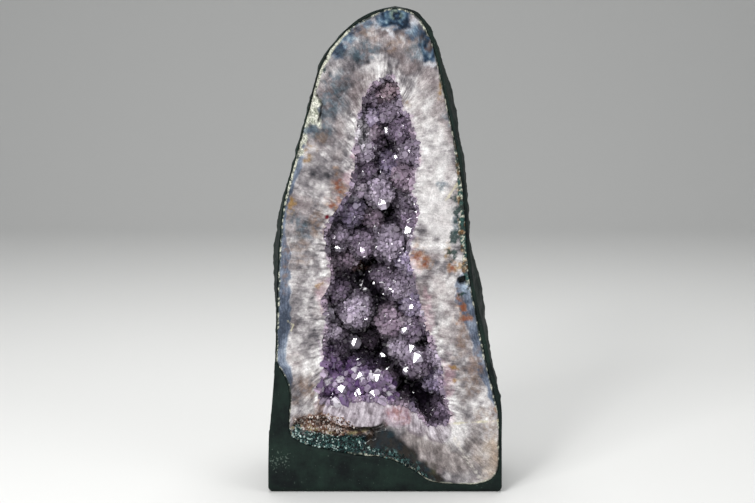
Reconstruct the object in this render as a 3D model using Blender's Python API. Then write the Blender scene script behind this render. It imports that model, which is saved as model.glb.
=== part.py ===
"""An amethyst dome geode, standing on its sawn foot. Run with: blender --background --python part.py

The stone was sawn open at the front and its back and foot were coated with dark cement.
It has three pieces: the cement shell, the banded geode wall that sits in it, and the crust of
amethyst crystals that lines the wall's hollow.

Units are metres. +Z is up, the sawn face looks along -Y, and +X is on the viewer's right.
The origin is the middle of the foot, under the middle of the whole stone.
"""

import math

import bmesh
import bpy
import numpy as np
from mathutils import Vector, geometry

# The whole stone.
HEIGHT = 0.386
HALF_WIDTH = 0.0936
DEPTH = 0.140
FACE_LEAN = math.radians(5.0)
FOOT_ROUND = 0.004
FOOT_INSET = 0.003
TIP_X = 0.008
TIP_BEHIND_FACE = 0.008

# How the pieces meet.
GAP = 0.0004
CEMENT_AT_BACK = 0.022
WALL_SHARE_OF_DEPTH = 0.78
CRUST_THICKNESS = 0.010

# The stone's level sections: height, left and right edge of the sawn face there,
# how far the sides swell out past those edges behind the face, and the back's y.
SECTIONS = (
    (0.000, -0.0936, 0.0936, 0.0000, 0.0000, 0.0580),
    (0.040, -0.0930, 0.0934, 0.0006, 0.0002, 0.0650),
    (0.073, -0.0902, 0.0926, 0.0010, 0.0010, 0.0685),
    (0.105, -0.0878, 0.0842, 0.0010, 0.0034, 0.0698),
    (0.137, -0.0868, 0.0770, 0.0010, 0.0048, 0.0700),
    (0.169, -0.0860, 0.0700, 0.0010, 0.0062, 0.0690),
    (0.201, -0.0842, 0.0666, 0.0008, 0.0042, 0.0665),
    (0.233, -0.0806, 0.0646, 0.0008, 0.0020, 0.0625),
    (0.265, -0.0720, 0.0606, 0.0008, 0.0028, 0.0560),
    (0.297, -0.0632, 0.0538, 0.0008, 0.0038, 0.0470),
    (0.329, -0.0546, 0.0464, 0.0006, 0.0012, 0.0355),
    (0.345, -0.0490, 0.0428, 0.0004, 0.0006, 0.0265),
    (0.361, -0.0364, 0.0388, 0.0004, 0.0004, 0.0140),
    (0.369, -0.0292, 0.0356, 0.0002, 0.0002, 0.0050),
    (0.377, -0.0188, 0.0294, 0.0002, 0.0002, -0.0070),
    (0.382, -0.0084, 0.0238, 0.0000, 0.0000, -0.0170),
    (0.386, 0.0060, 0.0100, 0.0000, 0.0000, -0.0290),
)
SLICE_HEIGHTS = (
    *(0.000, 0.0015, FOOT_ROUND),
    *np.arange(0.020, 0.330, 0.0172),
    *(0.340, 0.350, 0.359, 0.366, 0.372, 0.377, 0.381, 0.384),
)
POINTS_ROUND_BACK = 29
SIDE_POWER = 0.6
BACK_POWER = 0.85
# The cement's lumps are a sum of waves: wavelength, height, direction turned from +X, rise above level, phase.
WAVES = (
    (0.150, 0.0019, 20.0, 30.0, 0.4),
    (0.112, 0.0018, 100.0, -40.0, 2.0),
    (0.088, 0.0016, 160.0, 15.0, 5.1),
    (0.074, 0.0013, 60.0, 65.0, 1.2),
    (0.060, 0.0011, 130.0, -20.0, 3.3),
    (0.049, 0.0009, 10.0, -55.0, 0.7),
    (0.041, 0.0007, 75.0, 25.0, 4.4),
)
LUMPS_FULL_BEHIND = 0.060
LUMPS_FULL_ABOVE = 0.020
SIDE_SWELL = 1.55
BARREL_SWELL = 0.057

# Spokes across the sawn face, clockwise from the top: x and z of the wall's outer edge, then
# x and z of the hollow's mouth. The crystals' fibres run along them.
SPOKES = (
    (0.0088, 0.3842, 0.0016, 0.3314),
    (0.0255, 0.3776, 0.0096, 0.3246),
    (0.0366, 0.3580, 0.0128, 0.3145),
    (0.0424, 0.3370, 0.0138, 0.3065),
    (0.0476, 0.3140, 0.0190, 0.2988),
    (0.0530, 0.2905, 0.0232, 0.2850),
    (0.0574, 0.2700, 0.0280, 0.2700),
    (0.0604, 0.2510, 0.0236, 0.2520),
    (0.0624, 0.2330, 0.0224, 0.2380),
    (0.0636, 0.2160, 0.0280, 0.2220),
    (0.0646, 0.2000, 0.0214, 0.2030),
    (0.0656, 0.1840, 0.0198, 0.1870),
    (0.0678, 0.1670, 0.0230, 0.1700),
    (0.0714, 0.1490, 0.0274, 0.1535),
    (0.0750, 0.1310, 0.0314, 0.1360),
    (0.0788, 0.1140, 0.0386, 0.1200),
    (0.0824, 0.0970, 0.0452, 0.1020),
    (0.0870, 0.0800, 0.0464, 0.0860),
    (0.0908, 0.0600, 0.0510, 0.0705),
    (0.0914, 0.0380, 0.0528, 0.0610),
    (0.0896, 0.0160, 0.0506, 0.0550),
    (0.0760, 0.0074, 0.0440, 0.0542),
    (0.0560, 0.0070, 0.0360, 0.0528),
    (0.0370, 0.0090, 0.0302, 0.0575),
    (0.0205, 0.0195, 0.0210, 0.0676),
    (0.0000, 0.0280, 0.0050, 0.0714),
    (-0.0220, 0.0300, -0.0130, 0.0740),
    (-0.0440, 0.0340, -0.0310, 0.0736),
    (-0.0630, 0.0384, -0.0456, 0.0716),
    (-0.0752, 0.0466, -0.0536, 0.0754),
    (-0.0766, 0.0610, -0.0546, 0.0840),
    (-0.0754, 0.0760, -0.0510, 0.0940),
    (-0.0784, 0.0910, -0.0490, 0.1045),
    (-0.0844, 0.1060, -0.0498, 0.1155),
    (-0.0854, 0.1230, -0.0486, 0.1270),
    (-0.0852, 0.1400, -0.0476, 0.1410),
    (-0.0848, 0.1570, -0.0500, 0.1545),
    (-0.0842, 0.1720, -0.0432, 0.1690),
    (-0.0834, 0.1870, -0.0450, 0.1830),
    (-0.0824, 0.2030, -0.0474, 0.1975),
    (-0.0808, 0.2190, -0.0486, 0.2085),
    (-0.0776, 0.2360, -0.0426, 0.2205),
    (-0.0730, 0.2535, -0.0338, 0.2325),
    (-0.0674, 0.2730, -0.0270, 0.2465),
    (-0.0614, 0.2940, -0.0250, 0.2630),
    (-0.0556, 0.3150, -0.0236, 0.2795),
    (-0.0494, 0.3345, -0.0214, 0.2960),
    (-0.0396, 0.3535, -0.0182, 0.3105),
    (-0.0256, 0.3688, -0.0126, 0.3215),
    (-0.0086, 0.3794, -0.0046, 0.3276),
)
POINTS_ROUND = 72

# The hollow narrows towards a line up its middle, from SPINE_FOOT to SPINE_TOP (x, z).
SPINE_FOOT = (0.010, 0.088)
SPINE_TOP = (-0.003, 0.296)
WALL_POWER = 0.8
WALL_RINGS = (0.90, 0.72, 0.52, 0.32, 0.14)
HOLLOW_RINGS = (0.10, 0.26, 0.46, 0.68, 0.90)
HOLLOW_POWER = 0.5
FLOOR_POWER = 0.6
# How deep the crust's floor lies behind the sawn face: height, depth.
FLOOR_DEPTHS = ((0.05, 0.040), (0.10, 0.058), (0.18, 0.060), (0.25, 0.050), (0.30, 0.038), (0.34, 0.028))

# The crust's knobs: x, z, radius, and how far the knob's front lies behind the sawn face.
KNOBS = (
    (0.0024, 0.3188, 0.0088, 0.007),
    (-0.0112, 0.3148, 0.0080, 0.008),
    (0.0040, 0.3028, 0.0104, 0.009),
    (-0.0112, 0.2980, 0.0072, 0.008),
    (-0.0096, 0.2876, 0.0072, 0.014),
    (0.0136, 0.2884, 0.0104, 0.009),
    (-0.0184, 0.2708, 0.0096, 0.008),
    (-0.0072, 0.2764, 0.0072, 0.022),
    (0.0200, 0.2692, 0.0096, 0.008),
    (0.0032, 0.2604, 0.0096, 0.020),
    (0.0160, 0.2508, 0.0120, 0.012),
    (-0.0152, 0.2556, 0.0088, 0.016),
    (-0.0056, 0.2396, 0.0128, 0.014),
    (-0.0232, 0.2436, 0.0072, 0.008),
    (0.0136, 0.2292, 0.0104, 0.026),
    (-0.0280, 0.2228, 0.0120, 0.014),
    (-0.0104, 0.2156, 0.0096, 0.024),
    (0.0208, 0.2140, 0.0080, 0.010),
    (0.0048, 0.1964, 0.0136, 0.010),
    (-0.0176, 0.1956, 0.0112, 0.016),
    (-0.0384, 0.2028, 0.0088, 0.012),
    (0.0168, 0.1836, 0.0088, 0.014),
    (-0.0320, 0.1812, 0.0096, 0.026),
    (-0.0392, 0.1588, 0.0088, 0.009),
    (-0.0248, 0.1428, 0.0144, 0.011),
    (-0.0024, 0.1700, 0.0096, 0.026),
    (0.0120, 0.1636, 0.0128, 0.012),
    (0.0232, 0.1484, 0.0096, 0.009),
    (0.0056, 0.1332, 0.0136, 0.018),
    (0.0232, 0.1284, 0.0104, 0.010),
    (0.0144, 0.1116, 0.0120, 0.018),
    (0.0264, 0.1004, 0.0112, 0.009),
    (0.0408, 0.1068, 0.0096, 0.010),
    (0.0400, 0.0860, 0.0104, 0.020),
    (-0.0120, 0.1172, 0.0112, 0.034),
    (-0.0320, 0.1148, 0.0096, 0.030),
    (-0.0432, 0.1276, 0.0072, 0.008),
    (-0.0440, 0.1052, 0.0072, 0.008),
    (-0.0424, 0.0868, 0.0096, 0.007),
    (-0.0232, 0.0852, 0.0144, 0.006),
    (-0.0048, 0.0804, 0.0104, 0.007),
    (0.0448, 0.0636, 0.0080, 0.034),
)
KNOB_SHOULDER = 0.9
KNOB_SKIRT_SLOPE = 2.8

# The crystals of the crust: mostly six-sided pyramids, rooted on a honeycomb laid over the bowl.
CRYSTAL_SPACING = 0.0076
CRYSTAL_SCATTER = 0.0011
TIP_HEIGHT = 0.0046
TIP_SPREAD = 0.0018
TIP_LEAN = 0.22
VALLEY_DEPTH = 0.0008
TIP_CLEARANCE = 0.0012
TOWARDS_MOUTH = 0.4
# The crust is sawn off flat round the mouth, just behind the sawn face.
RIM_SETBACK = 0.0006
RIM_WIDTH = 0.0020
SEED = 11

# The pocket worn out under the crystal ledge, low on the left of the face: middle, half sizes, tilt.
POCKET_X = -0.042
POCKET_Z = 0.0525
POCKET_HALF = (0.026, 0.0085, 0.0062)
POCKET_TILT = math.radians(8.0)

CEMENT_COLOUR = (0.012, 0.022, 0.020)
QUARTZ_COLOUR = (0.52, 0.49, 0.50)
AMETHYST_COLOUR = (0.16, 0.10, 0.20)


def clear_scene():
    for obj in list(bpy.data.objects):
        bpy.data.objects.remove(obj, do_unlink=True)


def new_collection(name):
    made = bpy.data.collections.new(name)
    bpy.context.scene.collection.children.link(made)
    return made


def new_object(name, bm, collection, material=None):
    mesh = bpy.data.meshes.new(name)
    bm.to_mesh(mesh)
    bm.free()
    obj = bpy.data.objects.new(name, mesh)
    collection.objects.link(obj)
    if material:
        mesh.materials.append(material)
    return obj


def principled(name, colour, roughness, metallic=0.0):
    material = bpy.data.materials.new(name)
    material.use_nodes = True
    shader = material.node_tree.nodes["Principled BSDF"]
    shader.inputs["Base Color"].default_value = (*colour, 1.0)
    shader.inputs["Roughness"].default_value = roughness
    shader.inputs["Metallic"].default_value = metallic
    return material


def through(values, at):
    """A smooth curve through evenly spaced values (Catmull-Rom), read at the places at, which wrap round."""
    values = np.asarray(values, float)
    count = len(values)
    start = np.floor(at).astype(int)
    t = (at - start).reshape(-1, *[1] * (values.ndim - 1))
    a, b, c, d = (values[(start + step) % count] for step in (-1, 0, 1, 2))
    return 0.5 * (2 * b + (c - a) * t + (2 * a - 5 * b + 4 * c - d) * t**2 + (3 * b - a - 3 * c + d) * t**3)


def section_at(height):
    """The row of SECTIONS at this height, eased between the rows above and below."""
    rows = np.array(SECTIONS)
    heights = rows[:, 0]
    slopes = np.gradient(rows, heights, axis=0)
    low = int(np.clip(np.searchsorted(heights, height) - 1, 0, len(rows) - 2))
    step = heights[low + 1] - heights[low]
    t = (height - heights[low]) / step
    from_low = (2 * t**3 - 3 * t**2 + 1) * rows[low] + (t**3 - 2 * t**2 + t) * step * slopes[low]
    from_high = (3 * t**2 - 2 * t**3) * rows[low + 1] + (t**3 - t**2) * step * slopes[low + 1]
    return from_low + from_high


def face_y(height):
    """y of the sawn face, a plane that leans back from the foot."""
    return -DEPTH / 2 + (height - FOOT_ROUND) * math.tan(FACE_LEAN)


def lumps(point):
    """How far the cement's lumps stand out at this point."""
    total = 0.0
    for length, high, turn, rise, phase in WAVES:
        turn, rise = math.radians(turn), math.radians(rise)
        along = Vector((math.cos(turn) * math.cos(rise), math.sin(turn) * math.cos(rise), math.sin(rise)))
        total += high * math.sin(2 * math.pi * along.dot(point) / length + phase)
    return total


def back_of_section(height):
    """Points of one level section, from the face's right edge round the back to its left edge."""
    _, left, right, swell_left, swell_right, back = section_at(height)
    front = face_y(max(height, FOOT_ROUND))
    middle, half, deep = (left + right) / 2, (right - left) / 2, back - front
    inset = FOOT_INSET * max(0.0, 1 - height / FOOT_ROUND) ** 2
    points = []
    for i in range(POINTS_ROUND_BACK):
        turn = math.pi * i / (POINTS_ROUND_BACK - 1)
        side = math.copysign(abs(math.cos(turn)) ** SIDE_POWER, math.cos(turn))
        swell = swell_right if side > 0 else swell_left
        bulge = (SIDE_SWELL * swell + BARREL_SWELL * half) * abs(math.sin(2 * turn))
        x = middle + half * side + math.copysign(bulge, side)
        y = front + deep * math.sin(turn) ** BACK_POWER
        outward = Vector((side, math.sin(turn))).normalized()
        behind = min(1.0, (y - front) / LUMPS_FULL_BEHIND) * min(1.0, height / LUMPS_FULL_ABOVE)
        reach = lumps(Vector((x, y, height))) * behind - inset
        x, y = x + outward.x * reach, y + outward.y * reach
        if i in (0, POINTS_ROUND_BACK - 1):
            y = front + inset
        points.append((min(max(x, -HALF_WIDTH), HALF_WIDTH), min(y, DEPTH / 2), height))
    return points


def sawn_nodule():
    """The whole stone as one solid: level sections lofted from the foot to the tip."""
    bm = bmesh.new()
    rings = [[bm.verts.new(p) for p in back_of_section(h)] for h in SLICE_HEIGHTS]
    for low, high in zip(rings, rings[1:]):
        for i in range(POINTS_ROUND_BACK):
            j = (i + 1) % POINTS_ROUND_BACK
            bm.faces.new((low[i], low[j], high[j], high[i]))
    tip = bm.verts.new((TIP_X, face_y(HEIGHT) + TIP_BEHIND_FACE, HEIGHT))
    for i in range(POINTS_ROUND_BACK):
        bm.faces.new((rings[-1][i], rings[-1][(i + 1) % POINTS_ROUND_BACK], tip))
    bm.faces.new(reversed(rings[0]))
    return bm


def spoke_ends():
    """The wall's outer edge, the hollow's mouth and the spine point of each spoke, as (x, z) arrays."""
    ends = through(SPOKES, np.arange(POINTS_ROUND) * len(SPOKES) / POINTS_ROUND)
    outer, mouth = ends[:, :2], ends[:, 2:]
    foot, top = np.array(SPINE_FOOT), np.array(SPINE_TOP)
    along = np.clip((mouth - foot) @ (top - foot) / np.sum((top - foot) ** 2), 0, 1)
    return outer, mouth, foot + along[:, None] * (top - foot)


def floor_depth(heights):
    return np.interp(heights, *np.transpose(FLOOR_DEPTHS))


def back_depth(flat):
    """How far the stone's back lies behind the sawn face at each (x, z), from its level section there."""
    depths = []
    for x, height in flat:
        _, left, right, _, _, back = section_at(min(max(height, 0.0), HEIGHT))
        across = min(abs(x - (left + right) / 2) / ((right - left) / 2), 1.0) ** (1 / SIDE_POWER)
        depths.append((back - face_y(height)) * math.sqrt(1 - across**2) ** BACK_POWER)
    return np.array(depths)


def placed(flat, depth):
    """Points at (x, z) and a depth behind the sawn face."""
    return np.column_stack((flat[:, 0], face_y(flat[:, 1]) + depth, flat[:, 1]))


def drawn_in(edge, spine, margin):
    """The edge moved by a margin towards the spine."""
    inward = spine - edge
    return edge + inward * (margin / np.linalg.norm(inward, axis=1))[:, None]


def wall_ring(outer, spine, v, margin=0.0):
    """One ring of the wall's outer bowl, v from 0 at the face to 1 at the back, smaller by the margin."""
    narrowing = math.cos(v * math.pi / 2) ** WALL_POWER
    flat = spine + (outer - spine) * narrowing
    deepest = np.array([section_at(h)[5] - face_y(h) for h in spine[:, 1]]) - CEMENT_AT_BACK
    depth = np.minimum(deepest * math.sin(v * math.pi / 2), WALL_SHARE_OF_DEPTH * back_depth(flat))
    return placed(drawn_in(flat, spine, margin), depth - margin)


def hollow_ring(mouth, spine, v, margin=0.0):
    """One ring of the wall's hollow. It falls away steeply at the mouth and levels towards the spine."""
    edge = drawn_in(mouth, spine, margin)
    deepest = floor_depth(spine[:, 1]) + CRUST_THICKNESS
    flat = spine + (edge - spine) * (1 - v)
    return placed(flat, deepest * math.sin(v * math.pi / 2) ** HOLLOW_POWER - margin)


def join_rings(bm, rings):
    """Makes vertices for every ring and joins neighbours, each four-sided patch split the same way."""
    rows = [[bm.verts.new(p) for p in ring] for ring in rings]
    count = len(rows[0])
    for near, far in zip(rows, rows[1:]):
        for i in range(count):
            j = (i + 1) % count
            bm.faces.new((near[i], near[j], far[j]))
            bm.faces.new((near[i], far[j], far[i]))
    return rows


def loft(bm, rings):
    """Joins rings and closes both ends with strips from one side of the ring to the other."""
    rows = join_rings(bm, rings)
    close_end(bm, rows[0], flip=True)
    close_end(bm, rows[-1], flip=False)


def close_end(bm, row, flip):
    count = len(row)
    for i in range(count // 2):
        corners = [row[i], row[i + 1], row[count - 1 - i], row[(count - i) % count]]
        corners = [v for n, v in enumerate(corners) if v not in corners[:n]]
        bm.faces.new(corners[::-1] if flip else corners)


def face_outwards(bm):
    bmesh.ops.recalc_face_normals(bm, faces=bm.faces)
    return bm


def cut(target, cutter):
    cutter.hide_render = True
    cutter.display_type = "WIRE"
    modifier = target.modifiers.new("cut", "BOOLEAN")
    modifier.operation = "DIFFERENCE"
    modifier.object = cutter


def wall_bed():
    """The space in the cement that the geode wall fills, run out in front of the face."""
    outer, _, spine = spoke_ends()
    rings = [wall_ring(outer, spine, v, -GAP) for v in WALL_RINGS]
    edge = drawn_in(outer, spine, -GAP)
    rings += [placed(edge, 0.0), placed(edge, -0.02)]
    bm = bmesh.new()
    loft(bm, rings)
    return face_outwards(bm)


def geode_wall():
    """The banded wall: up the outer bowl, across the sawn face and down into the hollow."""
    outer, mouth, spine = spoke_ends()
    rings = [wall_ring(outer, spine, v) for v in WALL_RINGS]
    rings += [placed(outer, 0.0), placed(mouth, 0.0)]
    rings += [hollow_ring(mouth, spine, v) for v in HOLLOW_RINGS]
    bm = bmesh.new()
    loft(bm, rings)
    return face_outwards(bm)


def worn_pocket():
    """A flattened ball that cuts the pocket under the crystal ledge."""
    bm = bmesh.new()
    bmesh.ops.create_uvsphere(bm, u_segments=20, v_segments=10, radius=1.0)
    bmesh.ops.scale(bm, verts=bm.verts, vec=POCKET_HALF)
    for v in bm.verts:
        x, z = v.co.x, v.co.z
        v.co.x = POCKET_X + x * math.cos(POCKET_TILT) + z * math.sin(POCKET_TILT)
        v.co.z = POCKET_Z - x * math.sin(POCKET_TILT) + z * math.cos(POCKET_TILT)
        v.co.y += face_y(v.co.z)
    return bm


def knob_depth(flat, depth):
    """The nearer of the crust's bowl and its knobs, which are domes with steep skirts."""
    for x, z, radius, front in KNOBS:
        away = np.hypot(flat[:, 0] - x, flat[:, 1] - z) / radius
        dome = 1 - np.sqrt(1 - np.minimum(away, KNOB_SHOULDER) ** 2)
        skirt = np.maximum(away - KNOB_SHOULDER, 0) * KNOB_SKIRT_SLOPE
        depth = np.minimum(depth, front + radius * (dome + skirt))
    return depth


def reach_to(edge, start, direction):
    """How far each ray from start runs in the (x, z) plane before it meets the closed line edge."""
    side = np.roll(edge, -1, axis=0) - edge
    offset = edge[None] - start[:, None]
    across = direction[:, None, 0] * side[None, :, 1] - direction[:, None, 1] * side[None, :, 0]
    across[across == 0] = 1e-12
    distance = (offset[..., 0] * side[None, :, 1] - offset[..., 1] * side[None, :, 0]) / across
    along = (offset[..., 0] * direction[:, None, 1] - offset[..., 1] * direction[:, None, 0]) / across
    met = (distance > 0) & (along >= 0) & (along < 1)
    return np.where(met, distance, 0).max(axis=1)


def bowl_profile(reach, depth):
    """The crust's bowl along a ray, as (distance from spine, depth, length of the slope) rows."""
    v = np.linspace(0, 1, 41) ** 2
    flat = reach[:, None] * (1 - v)
    deep = depth[:, None] * np.sin(v * math.pi / 2) ** FLOOR_POWER
    steps = np.hypot(np.diff(flat), np.diff(deep))
    length = np.zeros_like(flat)
    length[:, :-1] = np.cumsum(steps[:, ::-1], axis=1)[:, ::-1]
    return flat, deep, length


def crystal_roots(edge):
    """The roots laid out flat, as if the bowl's slopes were folded out, and where they lie in the hollow."""
    rng = np.random.default_rng(SEED)
    foot, top = np.array(SPINE_FOOT), np.array(SPINE_TOP)
    rows = np.arange(-0.10, 0.50, CRYSTAL_SPACING * math.sqrt(3) / 2)
    columns = np.arange(-0.20, 0.20, CRYSTAL_SPACING)
    laid = np.array([(x + (n % 2) * CRYSTAL_SPACING / 2, z) for n, z in enumerate(rows) for x in columns])
    laid += rng.uniform(-CRYSTAL_SCATTER, CRYSTAL_SCATTER, laid.shape)
    along = np.clip((laid - foot) @ (top - foot) / np.sum((top - foot) ** 2), 0, 1)
    spine = foot + along[:, None] * (top - foot)
    slope = np.linalg.norm(laid - spine, axis=1)
    direction = (laid - spine) / slope[:, None]
    flat, deep, length = bowl_profile(reach_to(edge, spine, direction), floor_depth(spine[:, 1]))
    inside = slope < length[:, 0] - CRYSTAL_SPACING / 2
    roots = []
    for n in np.flatnonzero(inside):
        distance = np.interp(slope[n], length[n, ::-1], flat[n, ::-1])
        depth = np.interp(slope[n], length[n, ::-1], deep[n, ::-1])
        roots.append((*(spine[n] + direction[n] * distance), depth))
    roots = np.array(roots)
    return laid[inside], placed(roots[:, :2], knob_depth(roots[:, :2], roots[:, 2]))


def folded_out_edge(edge, spine):
    """The mouth's edge where it lies when the bowl's slopes are folded out flat."""
    reach = np.linalg.norm(edge - spine, axis=1)
    _, _, length = bowl_profile(reach, floor_depth(spine[:, 1]))
    return spine + (edge - spine) * (length[:, 0] / reach)[:, None]


def amethyst_crust():
    """The crystal lining: a bowl with a pyramid grown from every root on its inner side."""
    _, mouth, spine = spoke_ends()
    bm = bmesh.new()
    outline = drawn_in(mouth, spine, GAP)
    edge = drawn_in(outline, spine, RIM_WIDTH)
    back = [hollow_ring(mouth, spine, v, GAP) for v in HOLLOW_RINGS]
    rim, *_, deepest = join_rings(bm, [placed(edge, RIM_SETBACK), placed(outline, RIM_SETBACK), *back])
    close_end(bm, deepest, flip=False)
    laid, places = crystal_roots(edge)
    tips = [bm.verts.new(p) for p in places]
    flat = [Vector(p) for p in (*folded_out_edge(edge, spine), *laid)]
    sides = [(i, (i + 1) % POINTS_ROUND) for i in range(POINTS_ROUND)]
    corners, _, triangles, sources, _, _ = geometry.delaunay_2d_cdt(flat, sides, [], 1, 1e-7)
    verts = rim + tips
    verts = [verts[source[0]] for source in sources]
    crystal_faces = [bm.faces.new([verts[i] for i in triangle]) for triangle in triangles]
    face_outwards(bm)
    grow_crystals(bm, tips, crystal_faces)
    return bm


def grow_crystals(bm, tips, faces):
    """Turns every tip into a pyramid: low points go into the triangles and the edges turn to join them."""
    inner = set(faces)
    shared = [e for e in bm.edges if sum(f in inner for f in e.link_faces) == 2]
    bmesh.ops.poke(bm, faces=faces, offset=-VALLEY_DEPTH)
    bmesh.ops.rotate_edges(bm, edges=shared, use_ccw=False)
    bm.normal_update()
    rng = np.random.default_rng(SEED)
    grown = []
    for tip in tips:
        lean = Vector(rng.normal(0.0, TIP_LEAN, 3))
        length = TIP_HEIGHT + TIP_SPREAD * rng.uniform(-1, 1)
        direction = (tip.normal + Vector((0, -TOWARDS_MOUTH, 0)) + lean).normalized()
        grown.append(tip.co + direction * length)
    for tip, place in zip(tips, grown):
        place.y = max(place.y, face_y(place.z) + TIP_CLEARANCE)
        tip.co = place


def build():
    clear_scene()
    stone = new_collection("amethyst_dome_geode")
    cutters = new_collection("cutters")
    cement = principled("dark_painted_cement", CEMENT_COLOUR, 0.5)
    quartz = principled("polished_quartz", QUARTZ_COLOUR, 0.2)
    amethyst = principled("amethyst", AMETHYST_COLOUR, 0.15)
    shell = new_object("cement_shell", face_outwards(sawn_nodule()), stone, cement)
    cut(shell, new_object("wall_bed", wall_bed(), cutters))
    wall = new_object("geode_wall", geode_wall(), stone, quartz)
    cut(wall, new_object("worn_pocket", worn_pocket(), cutters))
    new_object("amethyst_crust", amethyst_crust(), stone, amethyst)


build()
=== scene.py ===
# %% [markdown]
# # An amethyst dome geode
# Gas bubbles in old lava filled with agate, then quartz, then amethyst. This one was sawn open at the front,
# polished on the cut, and its back and foot were coated with cement and painted dark green. It has three pieces:
# the cement shell, the banded wall of quartz, and the crust of amethyst points that lines the hollow.
# The solids give the sizes and the places. This script gives each of them the surface that the eye sees.

# %% Load the frame
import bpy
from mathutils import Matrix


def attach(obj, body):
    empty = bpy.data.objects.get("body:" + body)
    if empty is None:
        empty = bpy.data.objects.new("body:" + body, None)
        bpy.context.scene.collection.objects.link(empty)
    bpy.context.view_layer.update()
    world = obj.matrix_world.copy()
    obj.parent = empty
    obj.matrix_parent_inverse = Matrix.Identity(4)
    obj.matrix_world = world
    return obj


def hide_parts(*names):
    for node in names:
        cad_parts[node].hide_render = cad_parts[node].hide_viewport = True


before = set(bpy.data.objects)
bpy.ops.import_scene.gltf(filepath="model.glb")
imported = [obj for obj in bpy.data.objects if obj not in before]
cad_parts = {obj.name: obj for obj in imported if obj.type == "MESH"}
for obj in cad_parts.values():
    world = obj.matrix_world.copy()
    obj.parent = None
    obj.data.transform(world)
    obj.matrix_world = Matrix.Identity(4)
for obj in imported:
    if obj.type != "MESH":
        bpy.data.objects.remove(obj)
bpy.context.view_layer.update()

# %% [markdown]
# Everything is worked out with numpy as whole arrays, in metres, in the frame of the solids: +Z is up, the sawn
# face looks along -Y and +X is on the viewer's right. Lists of places are written in millimetres, because that is
# how a stone is measured, and `MM` turns them into metres.

# %% Units and imports
import itertools
import math

import bmesh
import bpy
import numpy as np
from mathutils import Vector

MM = 0.001
print("blender", bpy.app.version_string)

# %% [markdown]
# ## Noise
# Stone is never even, so nearly every surface here is nudged by noise. Blender has noise for one point at a time,
# but arrays need their own. Value noise is the simplest kind: a random number on every corner of a cubic lattice,
# eased between corners. A few layers of it at half the size and half the strength each time give natural clouds.

# %% Noise for arrays
def corner_numbers(cells, seed):
    """A repeatable number from -1 to 1 for each whole-number cell: multiply, mix the bits, keep the low ones."""
    mixed = cells[:, 0] * 374761393 + cells[:, 1] * 668265263 + cells[:, 2] * 1442695041 + seed * 974634777
    mixed = (mixed ^ (mixed >> 13)) * 1274126177
    mixed = mixed ^ (mixed >> 16)
    return (mixed & 0xFFFFFF) / 0x7FFFFF - 1.0


def noise(points, size, seed=0):
    """Value noise from -1 to 1: the eight corner numbers of the point's cell, weighted by 3t^2 - 2t^3."""
    scaled = np.asarray(points, float) / size
    cell = np.floor(scaled).astype(np.int64)
    t = scaled - cell
    t = t * t * (3 - 2 * t)
    total = np.zeros(len(scaled))
    for corner in itertools.product((0, 1), repeat=3):
        weight = np.prod(np.where(np.array(corner) == 1, t, 1 - t), axis=1)
        total += weight * corner_numbers(cell + np.array(corner), seed)
    return total


def clouds(points, size, layers=4, seed=0):
    """Layers of noise, each half as large and half as strong as the one before, about -1 to 1."""
    strengths = 0.5 ** np.arange(layers)
    total = sum(s * noise(points, size * s, seed + n) for n, s in enumerate(strengths))
    return total / strengths.sum() * 1.6


def smooth(values, low, high):
    """0 below low, 1 above high, and 3t^2 - 2t^3 between; low may be above high."""
    t = np.clip((values - low) / (high - low), 0, 1)
    return t * t * (3 - 2 * t)


sample = clouds(np.random.default_rng(1).uniform(0, 1, (2000, 3)), 0.1)
print("clouds run from %.2f to %.2f" % (sample.min(), sample.max()))

# %% [markdown]
# ## The stone's form
# The solids were made from a few lists: level sections of the whole stone, spokes across the sawn face, the depth
# of the hollow, and the knobs of its crust. They are repeated here, so that the fine surfaces lie on the same form.

# %% Driving sizes
HEIGHT, HALF_WIDTH, DEPTH = 386 * MM, 93.6 * MM, 140 * MM
FACE_LEAN = math.radians(5.0)
FOOT_ROUND, FOOT_INSET = 4 * MM, 3 * MM
TIP_X, TIP_BEHIND_FACE = 8 * MM, 8 * MM
GAP = 0.4 * MM
CEMENT_AT_BACK, WALL_SHARE_OF_DEPTH = 22 * MM, 0.78
CRUST_THICKNESS = 10 * MM

# Height, left and right edge of the face, swell behind the left and right edge, y of the back.
SECTIONS = MM * np.array((
    (0, -93.6, 93.6, 0.0, 0.0, 58.0),
    (40, -93.0, 93.4, 0.6, 0.2, 65.0),
    (73, -90.2, 92.6, 1.0, 1.0, 68.5),
    (105, -87.8, 84.2, 1.0, 3.4, 69.8),
    (137, -86.8, 77.0, 1.0, 4.8, 70.0),
    (169, -86.0, 70.0, 1.0, 6.2, 69.0),
    (201, -84.2, 66.6, 0.8, 4.2, 66.5),
    (233, -80.6, 64.6, 0.8, 2.0, 62.5),
    (265, -72.0, 60.6, 0.8, 2.8, 56.0),
    (297, -63.2, 53.8, 0.8, 3.8, 47.0),
    (329, -54.6, 46.4, 0.6, 1.2, 35.5),
    (345, -49.0, 42.8, 0.4, 0.6, 26.5),
    (361, -36.4, 38.8, 0.4, 0.4, 14.0),
    (369, -29.2, 35.6, 0.2, 0.2, 5.0),
    (377, -18.8, 29.4, 0.2, 0.2, -7.0),
    (382, -8.4, 23.8, 0.0, 0.0, -17.0),
    (386, 6.0, 10.0, 0.0, 0.0, -29.0),
))
SIDE_POWER, BACK_POWER = 0.6, 0.85
SIDE_SWELL, BARREL_SWELL = 1.55, 0.057
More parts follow.
